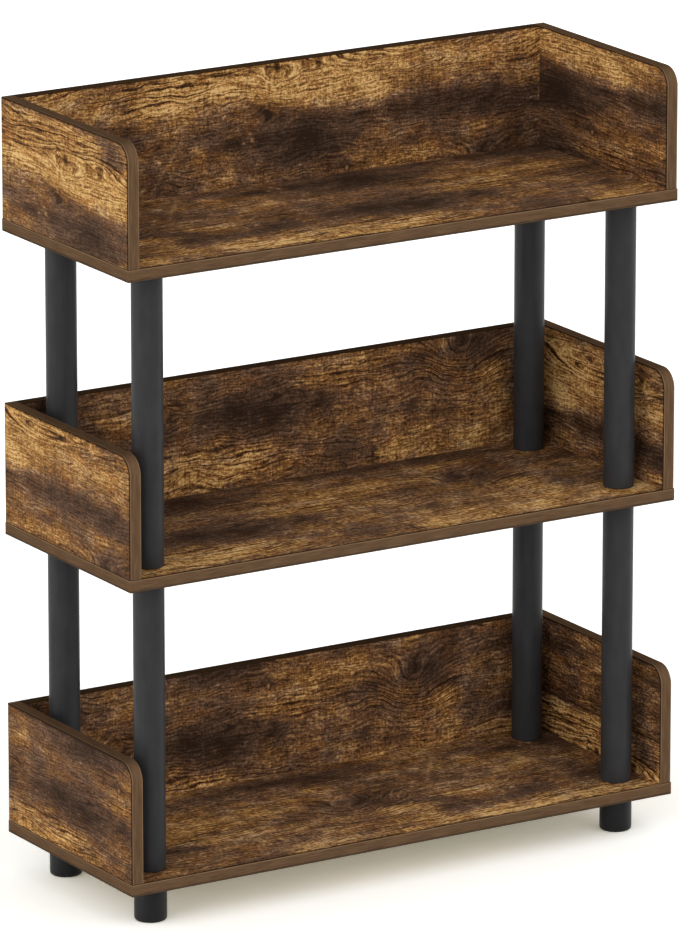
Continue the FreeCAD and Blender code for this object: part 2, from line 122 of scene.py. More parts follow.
class Number:
    """A number socket of a finish, on which Python's arithmetic adds Math nodes."""

    def __init__(self, bench: "Bench", socket: bpy.types.NodeSocket) -> None:
        """Keeps the socket and the bench that adds nodes to it."""
        self.bench = bench
        self.socket = socket

    def __add__(self, other: "Term") -> "Number":
        """Adds."""
        return self.bench.math("ADD", self, other)

    def __radd__(self, other: "Term") -> "Number":
        """Adds, with the number on the left."""
        return self.bench.math("ADD", other, self)

    def __sub__(self, other: "Term") -> "Number":
        """Takes away."""
        return self.bench.math("SUBTRACT", self, other)

    def __rsub__(self, other: "Term") -> "Number":
        """Takes away, with the number on the left."""
        return self.bench.math("SUBTRACT", other, self)

    def __mul__(self, other: "Term") -> "Number":
        """Multiplies."""
        return self.bench.math("MULTIPLY", self, other)

    def __rmul__(self, other: "Term") -> "Number":
        """Multiplies, with the number on the left."""
        return self.bench.math("MULTIPLY", other, self)


Term = Number | float
Link = Number | bpy.types.NodeSocket | float | Sequence[float]


class Bench:
    """Adds nodes to one tree and links them."""

    # A noise node's result, times the spread and plus the rest, runs from about -1 to 1.
    noise_spread = 4.0
    noise_rest = -2.0
    # An offset moves a noise by these shares of it along its three axes.
    offset_shares = (1.0, 0.7, 0.4)

    def __init__(self, tree: bpy.types.NodeTree) -> None:
        """Clears the tree, so that only what is added here is in it."""
        self.tree = tree
        self.tree.nodes.clear()

    def node(
        self,
        kind: str,
        settings: dict[str, object] | None = None,
        values: dict[str | int, Link] | None = None,
    ) -> bpy.types.Node:
        """Adds one node.

        Args:
            kind: The node's type.
            settings: Its own settings, set before its sockets. "stops" gives a colour ramp's places and
                colours.
            values: Its sockets' values or what is linked to them, by name or by number.

        Returns:
            The new node.
        """
        node = self.tree.nodes.new(kind)
        for name, value in (settings or {}).items():
            if name == "stops":
                self._set_stops(node.color_ramp, value)
            else:
                setattr(node, name, value)
        for key, value in (values or {}).items():
            source = value.socket if isinstance(value, Number) else value
            if isinstance(source, bpy.types.NodeSocket):
                self.tree.links.new(source, node.inputs[key])
            else:
                node.inputs[key].default_value = source
        return node

    @staticmethod
    def _set_stops(ramp: bpy.types.ColorRamp, stops: Sequence[tuple[float, Colour]]) -> None:
        """Gives a colour ramp its stops.

        Args:
            ramp: A new ramp.
            stops: The stops, each a place from 0 to 1 and a colour.
        """
        while len(ramp.elements) < len(stops):
            ramp.elements.new(1.0)
        for element, (place, colour) in zip(ramp.elements, stops):
            element.position = place
            element.color = colour

    def math(self, operation: str, *terms: Term) -> Number:
        """Adds a Math node and returns its result."""
        node = self.node("ShaderNodeMath", {"operation": operation}, dict(enumerate(terms)))
        return Number(self, node.outputs[0])

    def vector_math(self, operation: str, *terms: Link) -> bpy.types.NodeSocket:
        """Adds a Vector Math node and returns its vector."""
        values = dict(enumerate(terms))
        return self.node("ShaderNodeVectorMath", {"operation": operation}, values).outputs[0]

    def dot(self, first: Link, second: Link) -> Number:
        """Multiplies two vectors into one number: the sum of the products of their parts."""
        node = self.node("ShaderNodeVectorMath", {"operation": "DOT_PRODUCT"}, {0: first, 1: second})
        return Number(self, node.outputs["Value"])

    def vector(self, along: Term, across: Term) -> bpy.types.NodeSocket:
        """Joins two numbers into a flat vector."""
        return self.node("ShaderNodeCombineXYZ", values={0: along, 1: across}).outputs[0]

    def split(self, vector: bpy.types.NodeSocket) -> tuple[Number, Number, Number]:
        """Splits a vector into its three numbers."""
        outputs = self.node("ShaderNodeSeparateXYZ", values={0: vector}).outputs
        return tuple(Number(self, output) for output in outputs)

    def noise(
        self,
        vector: bpy.types.NodeSocket,
        size: Sequence[float],
        detail: float,
        roughness: float,
        offset: float,
    ) -> Number:
        """Adds a noise whose cells have the given size, spread to run from about -1 to 1.

        Args:
            vector: The place on the surface.
            size: The cells' size along each axis, in the vector's own unit.
            detail: How many finer layers are added.
            roughness: How strong the finer layers are.
            offset: A shift in cells that gives another noise of the same kind.

        Returns:
            The noise, near 0 on average.
        """
        rate = [1 / value for value in size] + [0.0] * (3 - len(size))
        shift = [offset * share for share in self.offset_shares]
        place = self.vector_math("MULTIPLY_ADD", vector, rate, shift)
        node = self.node(
            "ShaderNodeTexNoise",
            {"noise_dimensions": "3D" if len(size) == 3 else "2D"},
            {"Vector": place, "Scale": 1.0, "Detail": detail, "Roughness": roughness},
        )
        result = Number(self, node.outputs[0])
        return self.math("MULTIPLY_ADD", result, self.noise_spread, self.noise_rest)

    def rise(self, number: Number, low: float, high: float) -> Number:
        """Rises smoothly from 0 to 1.

        Args:
            number: What it depends on.
            low: The number up to which it is 0.
            high: The number from which it is 1.

        Returns:
            The rise.
        """
        node = self.node(
            "ShaderNodeMapRange",
            {"interpolation_type": "SMOOTHSTEP"},
            {"Value": number, "From Min": low, "From Max": high},
        )
        return Number(self, node.outputs[0])

    def ramp(self, number: Number, stops: Sequence[tuple[float, Colour]]) -> bpy.types.NodeSocket:
        """Turns a number into a colour by a ramp of stops."""
        return self.node("ShaderNodeValToRGB", {"stops": stops}, {0: number}).outputs[0]

    def mix(self, share: Term, first: Link, second: Link, way: str = "MIX") -> bpy.types.NodeSocket:
        """Mixes two colours by a share of the second.

        The node has sockets for numbers and vectors too. Its colours are its inputs 6 and 7 and its output 2.

        Args:
            share: The second colour's share, from 0 to 1.
            first: The first colour.
            second: The second colour.
            way: The node's way of mixing.

        Returns:
            The mixed colour.
        """
        node = self.node(
            "ShaderNodeMix", {"data_type": "RGBA", "blend_type": way}, {0: share, 6: first, 7: second}
        )
        return node.outputs[2]

    def relief(self, height: Number, depth: float, strength: float) -> bpy.types.NodeSocket:
        """Turns a height of about -1 to 1 into a bumped normal.

        Args:
            height: The height, as a share of the depth.
            depth: The relief's depth in metres.
            strength: How strongly it shows.

        Returns:
            The normal.
        """
        return self.node(
            "ShaderNodeBump", values={"Strength": strength, "Distance": depth, "Height": height}
        ).outputs[0]


def new_material(name: str) -> tuple[bpy.types.Material, Bench]:
    """Makes an empty node material.

    Args:
        name: The material's name.

    Returns:
        The material, and the bench that fills it.
    """
    material = bpy.data.materials.new(name)
    material.use_nodes = True
    return material, Bench(material.node_tree)


def close_material(bench: Bench, values: dict[str | int, Link]) -> None:
    """Adds the shader with the given socket values, and the material's output."""
    shader = bench.node("ShaderNodeBsdfPrincipled", values=values)
    bench.node("ShaderNodeOutputMaterial", values={"Surface": shader.outputs[0]})


def dress(piece: bpy.types.Object, material: bpy.types.Material) -> None:
    """Gives a piece one material in all its slots.

    Args:
        piece: The piece.
        material: Its finish.
    """
    if not piece.data.materials:
        piece.data.materials.append(material)
    for slot in piece.material_slots:
        slot.material = material


def dress_node(node: str, material: bpy.types.Material) -> None:
    """Gives a piece of the frame its finish, and reports it."""
    dress(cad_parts[node], material)
    log.info("%s: the packed solids, in %s", node, material.name)


@dataclass(frozen=True)
class Patch:
    """A soft-edged spot of the wood print, in sheet millimetres.

    Its strength is e to the power of minus r squared, where r is the distance from its middle with each
    direction divided by that direction's half size. The lean is how far it slides across for each millimetre
    along. Its tone makes the print lighter or darker there, and its warmth more or less golden.
    """

    along: float
    across: float
    length: float
    width: float
    tone: float = 0.0
    warmth: float = 0.0
    lean: float = 0.0

    def strength(self, bench: Bench, place: "Spot", shift: float) -> Number:
        """Works out the patch's strength at a place of the sheet.

        Args:
            bench: Where the nodes go.
            place: The place on the sheet, in millimetres.
            shift: How far this copy of the patch is moved along the sheet.

        Returns:
            The strength, from 0 to 1.
        """
        middle = self.along + shift
        rate = (1 / self.length, 1 / self.width, 0.0)
        offset = (-middle / self.length, (self.lean * middle - self.across) / self.width, 0.0)
        local = bench.vector_math("MULTIPLY_ADD", place.vector, rate, offset)
        if self.lean:
            lean_rate = (0.0, -self.lean / self.width, 0.0)
            local = bench.vector_math("MULTIPLY_ADD", place.slide, lean_rate, local)
        return bench.math("POWER", math.exp(-1), bench.dot(local, local))


class Spot:
    """A place on the print sheet, as two numbers, as their vector and as the vector that a lean needs."""

    def __init__(self, bench: Bench, along: Number, across: Number) -> None:
        """Joins the two numbers in the two ways that the patches need.

        Args:
            bench: Where the nodes go.
            along: The place along the sheet, in millimetres.
            across: The place across it.
        """
        self.along = along
        self.across = across
        self.vector = bench.vector(along, across)
        self.slide = bench.vector(0.0, along)


@dataclass(frozen=True)
class Bend(Patch):
    """A spot where the grain bends: it is lifted across the sheet, or spread apart round a knot."""

    lift: float = 0.0
    spread: float = 0.0


# The print's soft patches, light and warm ones first, then burnt ones, then its chips, and its strokes and
# scratches.
LIGHT_PATCHES = (
    Patch(80, 112, 175, 25, 0.26, 0.35),
    Patch(270, 108, 110, 20, 0.31, 0.30),
    Patch(545, 137, 70, 22, 0.24, 0.20),
    Patch(90, 133, 110, 11, 0.23, 0.20),
    Patch(190, 140, 60, 11, 0.28, 0.25),
    Patch(268, 145, 29, 15, 0.36, 0.30),
    Patch(20, 138, 60, 12, 0.10, 0.00),
    Patch(55, 103, 36, 8, 0.04, 0.45),
    Patch(65, 86, 20, 5, 0.20, 0.20),
    Patch(150, 92, 42, 7, 0.14, 0.10),
    Patch(357, 101, 22, 5, 0.22, 0.30),
    Patch(395, 102, 18, 5, 0.20, 0.30),
    Patch(285, 205, 56, 10, 0.10, 0.40),
    Patch(355, 205, 15, 6, 0.10, 0.30),
    Patch(250, 228, 42, 11, 0.12, 0.35),
    Patch(10, 182, 15, 8, 0.10, 0.25),
    Patch(50, 200, 34, 14, 0.04, 0.10),
    Patch(437, 187, 14, 6, 0.12, 0.45),
    Patch(480, 243, 28, 6, 0.22, 0.20),
    Patch(490, 264, 30, 18, 0.14, 0.15),
    Patch(90, 283, 84, 14, 0.24, 0.20),
    Patch(125, 286, 26, 8, 0.10, 0.10),
    Patch(340, 290, 22, 11, 0.28, 0.25),
    Patch(450, 290, 16, 11, 0.18, 0.20),
    Patch(575, 282, 52, 15, 0.32, 0.15),
    Patch(400, 291, 50, 12, 0.10, 0.10),
    Patch(115, 22, 34, 14, 0.18, 0.10),
    Patch(572, 232, 26, 10, 0.16, 0.00),
    Patch(400, 131, 60, 16, 0.24, 0.05),
    Patch(320, 132, 30, 14, 0.12, 0.00),
    Patch(50, 45, 40, 14, 0.10, 0.15),
)
BURNT_PATCHES = (
    Patch(166, 181, 72, 24, -0.38, -0.35),
    Patch(405, 165, 110, 13, -0.30, -0.35),
    Patch(480, 192, 50, 34, -0.14, -0.10),
    Patch(142, 244, 70, 18, -0.44, -0.30),
    Patch(240, 244, 21, 6, -0.24, -0.20),
    Patch(452, 219, 36, 13, -0.30, -0.25),
    Patch(514, 255, 14, 20, -0.24, -0.20),
    Patch(562, 258, 36, 13, -0.24, -0.25),
    Patch(575, 205, 30, 12, -0.14, -0.20),
    Patch(30, 231, 9, 7, -0.22, -0.10),
    Patch(16, 252, 26, 11, -0.24, -0.25),
    Patch(370, 228, 17, 7, -0.20, -0.10),
    Patch(360, 258, 17, 5, -0.20, -0.10),
    Patch(213, 98, 21, 15, -0.38, -0.55),
    Patch(95, 152, 40, 5, -0.18, 0.15),
    Patch(25, 142, 24, 8, -0.14, -0.40),
    Patch(18, 166, 26, 8, -0.16, -0.30),
    Patch(106, 157, 6, 5, -0.26, -0.30),
    Patch(60, 176, 24, 5, -0.24, -0.20),
    Patch(498, 133, 10, 5, -0.24, -0.20),
    Patch(280, 283, 26, 17, -0.18, -0.10),
    Patch(235, 276, 34, 14, -0.08, 0.00),
    Patch(312, 292, 4, 12, -0.38, 0.00),
    Patch(13, 272, 7, 2, -0.36, 0.00),
    Patch(70, 22, 36, 8, -0.16, -0.15),
)
CHIPS = (
    Patch(86, 176, 3.0, 2.0, 0.62),
    Patch(72, 177, 2.6, 1.4, 0.45),
    Patch(83, 171, 2.4, 1.2, 0.40),
    Patch(226, 208, 3.2, 2.0, 0.55),
    Patch(46, 152, 3.0, 1.4, 0.35),
    Patch(170, 150, 3.4, 1.5, 0.32),
    Patch(130, 235, 2.6, 1.6, 0.38),
    Patch(76, 252, 2.4, 1.5, 0.34),
    Patch(155, 252, 2.4, 1.4, 0.32),
    Patch(195, 248, 2.6, 1.4, 0.34),
    Patch(597, 240, 3.0, 1.8, 0.38),
    Patch(552, 182, 2.6, 1.8, 0.42),
    Patch(311, 126, 2.8, 1.6, 0.36),
    Patch(358, 112, 2.6, 1.4, 0.34),
)
STROKES = (
    Patch(60, 93, 36, 1.0, -0.40, lean=0.18),
    Patch(50, 119, 52, 1.0, -0.36, lean=0.14),
    Patch(161, 101, 30, 1.0, -0.40, lean=-0.14),
    Patch(172, 113, 32, 1.0, -0.40, lean=0.27),
    Patch(108, 109, 15, 1.3, -0.38, lean=0.40),
    Patch(123, 117, 3.6, 4.6, -0.52, lean=-0.21),
    Patch(191, 107, 1.3, 9, -0.34),
    Patch(251, 164, 12, 1.6, -0.34),
    Patch(480, 234, 21, 1.2, -0.34, lean=-0.19),
    Patch(295, 105, 13, 2.4, -0.26),
    Patch(358, 106, 20, 1.4, -0.34, lean=-0.31),
    Patch(150, 212, 34, 1.5, 0.16, lean=0.31),
    Patch(525, 209, 14, 1.8, 0.16, lean=-0.90),
    Patch(558, 193, 28, 2.0, 0.16, lean=-0.93),
    Patch(300, 247, 11, 2.0, 0.14),
    Patch(40, 217, 40, 1.4, -0.16, lean=-0.18),
)
# Where the grain bends round knots, and where its bold lines show.
BENDS = (
    Bend(123, 117, 24, 9, spread=1.75),
    Bend(125, 130, 36, 9, lift=-5.0),
    Bend(184, 108, 50, 9, lift=13.0),
    Bend(335, 100.8, 90, 14, spread=2.1),
    Bend(437, 226, 46, 20, lift=-26.0),
    Bend(385, 243, 26, 10, lift=7.0),
    Bend(106, 157, 10, 7, spread=1.20),
    Bend(226, 208, 10, 6, spread=1.20),
    Bend(20, 240, 24, 12, spread=0.80),
    Bend(60, 288, 34, 9, lift=4.0),
    Bend(30, 93, 26, 8, lift=-4.0),
    Bend(545, 130, 40, 12, lift=3.0),
)
LINE_ZONES = (
    Patch(70, 103, 125, 17, 0.95),
    Patch(70, 132, 125, 12, 0.25),
    Patch(190, 112, 64, 15, 0.60),
    Patch(340, 106, 130, 12, 0.95),
    Patch(548, 126, 64, 15, 0.85),
    Patch(440, 240, 95, 20, 0.60),
    Patch(95, 286, 120, 22, 0.60),
    Patch(260, 225, 70, 16, 0.35),
)


@dataclass(frozen=True)
class Crop:
    """Which part of the printed sheet a face shows.

    The sheet place is the start plus the rate times the face's millimetres. The tone makes one board a
    little lighter or darker than the next, and the contrast spreads its tones about their middle.
    """

    along: float
    across: float
    along_rate: float = 1.0
    across_rate: float = 1.0
    tone: float = 0.0
    contrast: float = 1.0


@dataclass(frozen=True)
class PrintedFace:
    """A board's two faces on the sheet.

    The near face shows its crop. The face that looks to the far side, whose normal's part that way is past
    turned_past, shows the sheet moved on by turn_over, as two cuts of one sheet differ. The corner and the
    band's thickness and front radius are in metres, and the size and turn_over in millimetres.
    """

    lie: Lie
    corner: tuple[float, float]
    size: tuple[float, float]
    crop: Crop
    far_side: tuple[float, float, float]
    band: float
    front_radius: float = 0.0
    turned_past: float = 0.5
    turn_over: tuple[float, float] = (170.0, 24.0)

    def windows(self) -> list[tuple[float, float, float, float]]:
        """Gives the two stretches of the sheet that the faces show.

        Returns:
            Each face's lowest and highest place along the sheet, then across it.
        """
        low_along = self.crop.along
        low_across = self.crop.across
        high_along = low_along + self.size[0] * self.crop.along_rate
        high_across = low_across + self.size[1] * self.crop.across_rate
        moves = ((0.0, 0.0), self.turn_over)
        return [
            (low_along + on, high_along + on, low_across + over, high_across + over) for on, over in moves
        ]


@dataclass(frozen=True)
class Layer:
    """One noise of a finish.

    The size gives its cells' length along each axis, in the unit of the place that it is laid on. The detail
    and roughness give its finer layers, and the offset makes it another noise of the same kind. The weight
    says how much of it counts, and the span gives the noise's values between which a mask made from it rises.
    """

    size: tuple[float, ...]
    detail: float = 2.0
    roughness: float = 0.5
    offset: float = 0.0
    weight: float = 1.0
    span: tuple[float, float] = (0.0, 1.0)

    def lay(self, bench: Bench, place: bpy.types.NodeSocket) -> Number:
        """Adds the noise, from about -1 to 1."""
        return bench.noise(place, self.size, self.detail, self.roughness, self.offset)

    def weighed(self, bench: Bench, place: bpy.types.NodeSocket) -> Number:
        """Adds the noise times its weight."""
        return self.lay(bench, place) * self.weight

    def mask(self, bench: Bench, place: bpy.types.NodeSocket) -> Number:
        """Adds the noise and rises from 0 to 1 over its span."""
        return bench.rise(self.lay(bench, place), *self.span)


@dataclass(frozen=True)
class GrainLines:
    """Dark lines along the grain, in the places where a wave over the bent grain comes near its crest.

    The spacing is in sheet millimetres, the drift and sway say how far two noises push the wave, and the
    span gives the wave's values between which a line comes up. The lines have the strength of elsewhere, plus
    zone_share times how strongly a place belongs to a line zone. The depth says how dark they are.
    """

    spacing: float
    drift: float
    span: tuple[float, float]
    zone_share: float
    elsewhere: float
    depth: float
    sway: float = 0.0

    def lay(self, bench: Bench, grain: Number, drift: Number, streak: Number, zone: Term) -> Number:
        """Adds the lines: the rise of the sine of grain times a full turn over the spacing, plus the pushes.

        Args:
            bench: Where the nodes go.
            grain: The grain's number, in millimetres.
            drift: The slow noise.
            streak: The streaks' noise.
            zone: How strongly the place belongs to a line zone.

        Returns:
            The lines, from 0 to about 1.
        """
        phase = grain * (FULL_TURN / self.spacing) + drift * self.drift
        if self.sway:
            phase = phase + streak * self.sway
        crest = bench.rise(bench.math("SINE", phase), *self.span)
        return crest * (zone * self.zone_share + self.elsewhere)


@dataclass(frozen=True)
class RusticPrint:
    """The wood print on every board: one sheet, of which each face shows a crop.

    Lengths are in sheet millimetres, apart from the rims and the relief, which are in metres.
    """

    # The sheet's repeat, and how many repeats and how many half sizes away a patch may be to reach a face.
    repeat: float = 602.5
    repeats_each_way: int = 2
    patch_reach: float = 2.0
    # The joint of two planks in the picture: its place, its soft step and its dark line.
    joint_across: float = 77.0
    joint_step: float = 0.6
    joint_step_depth: float = 0.12
    joint_line: tuple[float, float] = (0.4, 1.6)
    joint_line_depth: float = 0.28
    # Waves that bend the grain, and noises that make the soft patches ragged.
    wave_along: Layer = Layer((60, 18), weight=4.0)
    wave_across: Layer = Layer((110, 34), offset=3.7, weight=3.4)
    short_wave_across: Layer = Layer((26, 11), offset=8.1, weight=0.9)
    ragged_along: Layer = Layer((9, 9), 3.0, 0.7, offset=5.5, weight=5.0)
    ragged_across: Layer = Layer((11, 7), 3.0, 0.7, offset=10.5, weight=3.0)
    ragged_by_streak: float = 12.0
    # Noises of the wood's body, then of its surface.
    middle_tone: float = 0.51
    broad: Layer = Layer((150, 13), 3.0, 0.55, offset=1.3, weight=0.10)
    cloud: Layer = Layer((34, 17), 3.0, 0.6, offset=6.4, weight=0.12)
    clump: Layer = Layer((17, 7), 4.0, 0.66, offset=24.3, weight=0.15)
    streak: Layer = Layer((46, 2.6), 3.0, 0.6, weight=0.07)
    fibre: Layer = Layer((24, 1.7), 2.0, 0.6, offset=2.2, weight=0.17)
    hair: Layer = Layer((12, 0.9), 1.0, offset=14.1, weight=0.16)
    saw: Layer = Layer((2.2, 26), 2.0, 0.6, offset=9.3, weight=0.06)
    band: Layer = Layer((7, 60), 2.0, 0.6, offset=19.3, weight=0.03)
    mottle: Layer = Layer((4.2, 2.4), 3.0, 0.72, offset=11.6, weight=0.32)
    # The surface shows less where the body is dark: from this share of it up to all, over this span.
    dark_surface: float = 0.38
    pale_span: tuple[float, float] = (0.1, 0.8)
    # Lines along the grain, the gaps in the bold ones, and thin wandering lines where a noise crosses zero.
    drift: Layer = Layer((90, 9), offset=4.4)
    bold_lines: GrainLines = GrainLines(
        spacing=6.4, drift=2.2, span=(0.45, 0.97), zone_share=1.0, elsewhere=0.05, depth=0.62
    )
    gaps: Layer = Layer((90, 4), offset=7.7, span=(-1.2, 0.3))
    threads: GrainLines = GrainLines(
        spacing=3.0, drift=3.0, span=(0.1, 0.9), zone_share=0.5, elsewhere=0.42, depth=0.30, sway=0.6
    )
    wander: Layer = Layer((64, 5.5), 3.0, 0.55, offset=16.9, weight=0.28)
    wander_width: float = 0.15
    wander_zone_share: float = 0.3
    wander_elsewhere: float = 0.55
    # Small pale and dark dots.
    speck: Layer = Layer((2.4, 1.5), 1.0, offset=12.4, weight=0.34, span=(0.80, 1.15))
    pit: Layer = Layer((3.4, 1.6), 1.0, offset=15.2, weight=0.38, span=(0.75, 1.1))
    # The dark line where the print meets the edge band.
    side_rim: float = 1.8 * MM
    floor_rim: float = 4.0 * MM
    rim_depth: float = 0.34
    # What mixes the grey ramp with the warm one, and the reddish tint over both.
    warmth: Layer = Layer((40, 15), 3.0, 0.6, offset=18.6, weight=0.38)
    middle_warmth: float = 0.57
    warmth_by_patch: float = 0.6
    warm_span: tuple[float, float] = (0.1, 1.0)
    blush: Layer = Layer((40, 14), 3.0, 0.6, offset=21.2, weight=0.6, span=(-0.1, 0.9))
    blush_tint: Colour = (1.0, 0.88, 0.82, 1.0)
    warm_stops: tuple[tuple[float, Colour], ...] = (
        (0.00, srgb(52, 35, 22)),
        (0.20, srgb(84, 57, 35)),
        (0.40, srgb(117, 80, 47)),
        (0.58, srgb(153, 108, 60)),
        (0.78, srgb(197, 151, 88)),
        (1.00, srgb(231, 192, 130)),
    )
    grey_stops: tuple[tuple[float, Colour], ...] = (
        (0.00, srgb(49, 36, 27)),
        (0.20, srgb(76, 57, 44)),
        (0.40, srgb(102, 77, 60)),
        (0.58, srgb(132, 102, 79)),
        (0.78, srgb(170, 137, 105)),
        (1.00, srgb(213, 180, 143)),
    )
    # The surface's gloss and its relief: streaks and fibres stand up, and bold lines lie deep.
    roughness: float = 0.52
    roughness_by_streak: float = 0.05
    gloss: float = 0.01
    relief_depth: float = 0.12 * MM
    relief_strength: float = 0.3
    relief_by_streak: float = 0.4
    relief_by_fibre: float = 0.4
    relief_by_line: float = 0.9

    def near(self, patches: Iterable[Patch], face: PrintedFace) -> list[tuple[Patch, float]]:
        """Picks the patches that reach a face's part of the sheet.

        Args:
            patches: Patches of one repeat of the sheet.
            face: The face.

        Returns:
            Each patch with the shift along the sheet of the copy that reaches the face.
        """
        kept = []
        windows = face.windows()
        for patch in patches:
            along = self.patch_reach * patch.length
            across = self.patch_reach * (patch.width + abs(patch.lean) * patch.length)
            for copy in range(-self.repeats_each_way, self.repeats_each_way + 1):
                shift = copy * self.repeat
                middle = patch.along + shift
                if any(
                    low - along < middle < high + along and left - across < patch.across < right + across
                    for low, high, left, right in windows
                ):
                    kept.append((patch, shift))
        return kept

    def board_place(self, bench: Bench, face: PrintedFace) -> tuple[Number, Number]:
        """Works out the place on the board, in metres from the face's corner.

        Args:
            bench: Where the nodes go.
            face: The face, whose lie says which axes run along and across the grain.

        Returns:
            The place along the grain, then across it.
        """
        spot = bench.node("ShaderNodeTexCoord").outputs["Object"]
        x, y, z = bench.split(spot)
        first, second = face.corner
        along = (first - y) if face.lie is Lie.SIDE else (x - first)
        across = (second - y) if face.lie is Lie.FLOOR else (second - z)
        return along, across

    def sheet_place(self, bench: Bench, face: PrintedFace) -> Spot:
        """Works out the place on the sheet, in millimetres, from the place on the board.

        Args:
            bench: Where the nodes go.
            face: The face and its crop.

        Returns:
            The place: along the grain, then across it.
        """
        along, across = self.board_place(bench, face)
        normal = bench.node("ShaderNodeNewGeometry").outputs["Normal"]
        turned = bench.math("GREATER_THAN", bench.dot(normal, face.far_side), face.turned_past)
        crop = face.crop
        along = along * (crop.along_rate / MM) + crop.along + turned * face.turn_over[0]
        across = across * (crop.across_rate / MM) + crop.across + turned * face.turn_over[1]
        return Spot(bench, along, across)

    def total(
        self, bench: Bench, place: Spot, patches: Iterable[tuple[Patch, float]]
    ) -> tuple[Term, Term]:
        """Adds up the patches' tones and warmths.

        Args:
            bench: Where the nodes go.
            place: The place on the sheet.
            patches: Patches with their shifts.

        Returns:
            The tone and the warmth, which are plain zeros if there is no patch.
        """
        tone, warmth = 0.0, 0.0
        for patch, shift in patches:
            strength = patch.strength(bench, place, shift)
            tone = bench.math("MULTIPLY_ADD", strength, patch.tone, tone)
            if patch.warmth:
                warmth = bench.math("MULTIPLY_ADD", strength, patch.warmth, warmth)
        return tone, warmth

    def waved(self, bench: Bench, flat: Spot) -> Spot:
        """Moves a place on the sheet by the slow waves.

        Args:
            bench: Where the nodes go.
            flat: The place on the sheet.

        Returns:
            The moved place.
        """
        return Spot(
            bench,
            flat.along + self.wave_along.weighed(bench, flat.vector),
            flat.across
            + self.wave_across.weighed(bench, flat.vector)
            + self.short_wave_across.weighed(bench, flat.vector),
        )

    def ragged(self, bench: Bench, flat: Spot, waved: Spot, streak: Number) -> Spot:
        """Moves a waved place by the fine noises, so that the soft patches get ragged edges.

        Args:
            bench: Where the nodes go.
            flat: The place on the sheet.
            waved: The place with its slow waves.
            streak: The streaks' noise.

        Returns:
            The moved place.
        """
        return Spot(
            bench,
            waved.along + streak * self.ragged_by_streak + self.ragged_along.weighed(bench, flat.vector),
            waved.across + self.ragged_across.weighed(bench, flat.vector),
        )

    def bent_grain(self, bench: Bench, place: Spot, face: PrintedFace) -> Number:
        """Works out the grain line's number: the place across the sheet, bent round the knots.

        Each bend adds its lift and takes its spread times the distance from its middle, both times its
        strength.

        Args:
            bench: Where the nodes go.
            place: The place on the sheet, with its slow waves.
            face: The face.

        Returns:
            The grain's number, in millimetres.
        """
        grain = place.across
        for bend, shift in self.near(BENDS, face):
            strength = bend.strength(bench, place, shift)
            change = bench.math("MULTIPLY_ADD", place.across - bend.across, -bend.spread, bend.lift)
            grain = bench.math("MULTIPLY_ADD", strength, change, grain)
        return grain

    def wandering_lines(self, bench: Bench, run: bpy.types.NodeSocket, zone: Term) -> Number:
        """Adds thin dark lines where a noise crosses zero.

        Args:
            bench: Where the nodes go.
            run: The place along and across the bent grain.
            zone: How strongly the place belongs to a line zone.

        Returns:
            The lines' share of the tone.
        """
        distance = bench.math("ABSOLUTE", self.wander.lay(bench, run))
        thin = 1 - bench.rise(distance, 0.0, self.wander_width)
        return thin * (zone * self.wander_zone_share + self.wander_elsewhere) * self.wander.weight

    def joint(self, bench: Bench, flat: Spot) -> Number:
        """Adds the joint of two planks: one plank a little darker, and a dark line between them.

        Args:
            bench: Where the nodes go.
            flat: The place on the sheet.

        Returns:
            The joint's share of the tone.
        """
        distance = bench.math("ABSOLUTE", flat.across - self.joint_across)
        plank = 1 - bench.rise(flat.across, self.joint_across - self.joint_step, self.joint_across)
        line = 1 - bench.rise(distance, *self.joint_line)
        return plank * self.joint_step_depth + line * self.joint_line_depth

    def rim(self, bench: Bench, face: PrintedFace) -> Number:
        """Adds the dark line where the print meets the edge band.

        On a side panel the line follows the front, the round corner and the top: a place's reach is the
        square root of the sum of the squares of how far it is past the corner's middle, forwards and
        upwards. On a board it follows the front edge.

        Args:
            bench: Where the nodes go.
            face: The face.

        Returns:
            The line's share of the tone.
        """
        along, across = self.board_place(bench, face)
        length, width = (size * MM for size in face.size)
        if face.lie is Lie.SIDE:
            edge = face.front_radius - face.band
            past_front = bench.math("MAXIMUM", along - (length - face.front_radius), 0.0)
            past_top = bench.math("MAXIMUM", face.front_radius - across, 0.0)
            reach = bench.math("SQRT", past_front * past_front + past_top * past_top)
            return bench.rise(reach, edge - self.side_rim, edge) * self.rim_depth
        edge = width - face.band
        return bench.rise(across, edge - self.floor_rim, edge) * self.rim_depth

    def colour(self, bench: Bench, flat: Spot, tone: Number, warmth: Number) -> bpy.types.NodeSocket:
        """Turns a tone and a warmth into the print's colour.

        Args:
            bench: Where the nodes go.
            flat: The place on the sheet, for the tint.
            tone: How pale the wood is, from 0 to 1.
            warmth: How golden it is, from 0 to 1.

        Returns:
            The colour.
        """
        warm = bench.ramp(tone, self.warm_stops)
        grey = bench.ramp(tone, self.grey_stops)
        colour = bench.mix(bench.rise(warmth, *self.warm_span), grey, warm)
        blush = self.blush.mask(bench, flat.vector) * self.blush.weight
        return bench.mix(blush, colour, self.blush_tint, "MULTIPLY")

    def material(self, name: str, face: PrintedFace) -> bpy.types.Material:
        """Makes the print for one board.

        The tone is the middle tone, plus the patches, plus noises stretched along the bent grain and
        stronger where the wood is pale, minus the grain lines, the joint and the rim. Two ramps, warm and
        grey, turn it into a colour, and the warmth mixes them.

        Args:
            name: The material's name.
            face: The board's faces on the sheet.

        Returns:
            The material.
        """
        material, bench = new_material(name)
        flat = self.sheet_place(bench, face)
        waved = self.waved(bench, flat)
        grain = self.bent_grain(bench, waved, face)
        run = bench.vector(waved.along, grain)

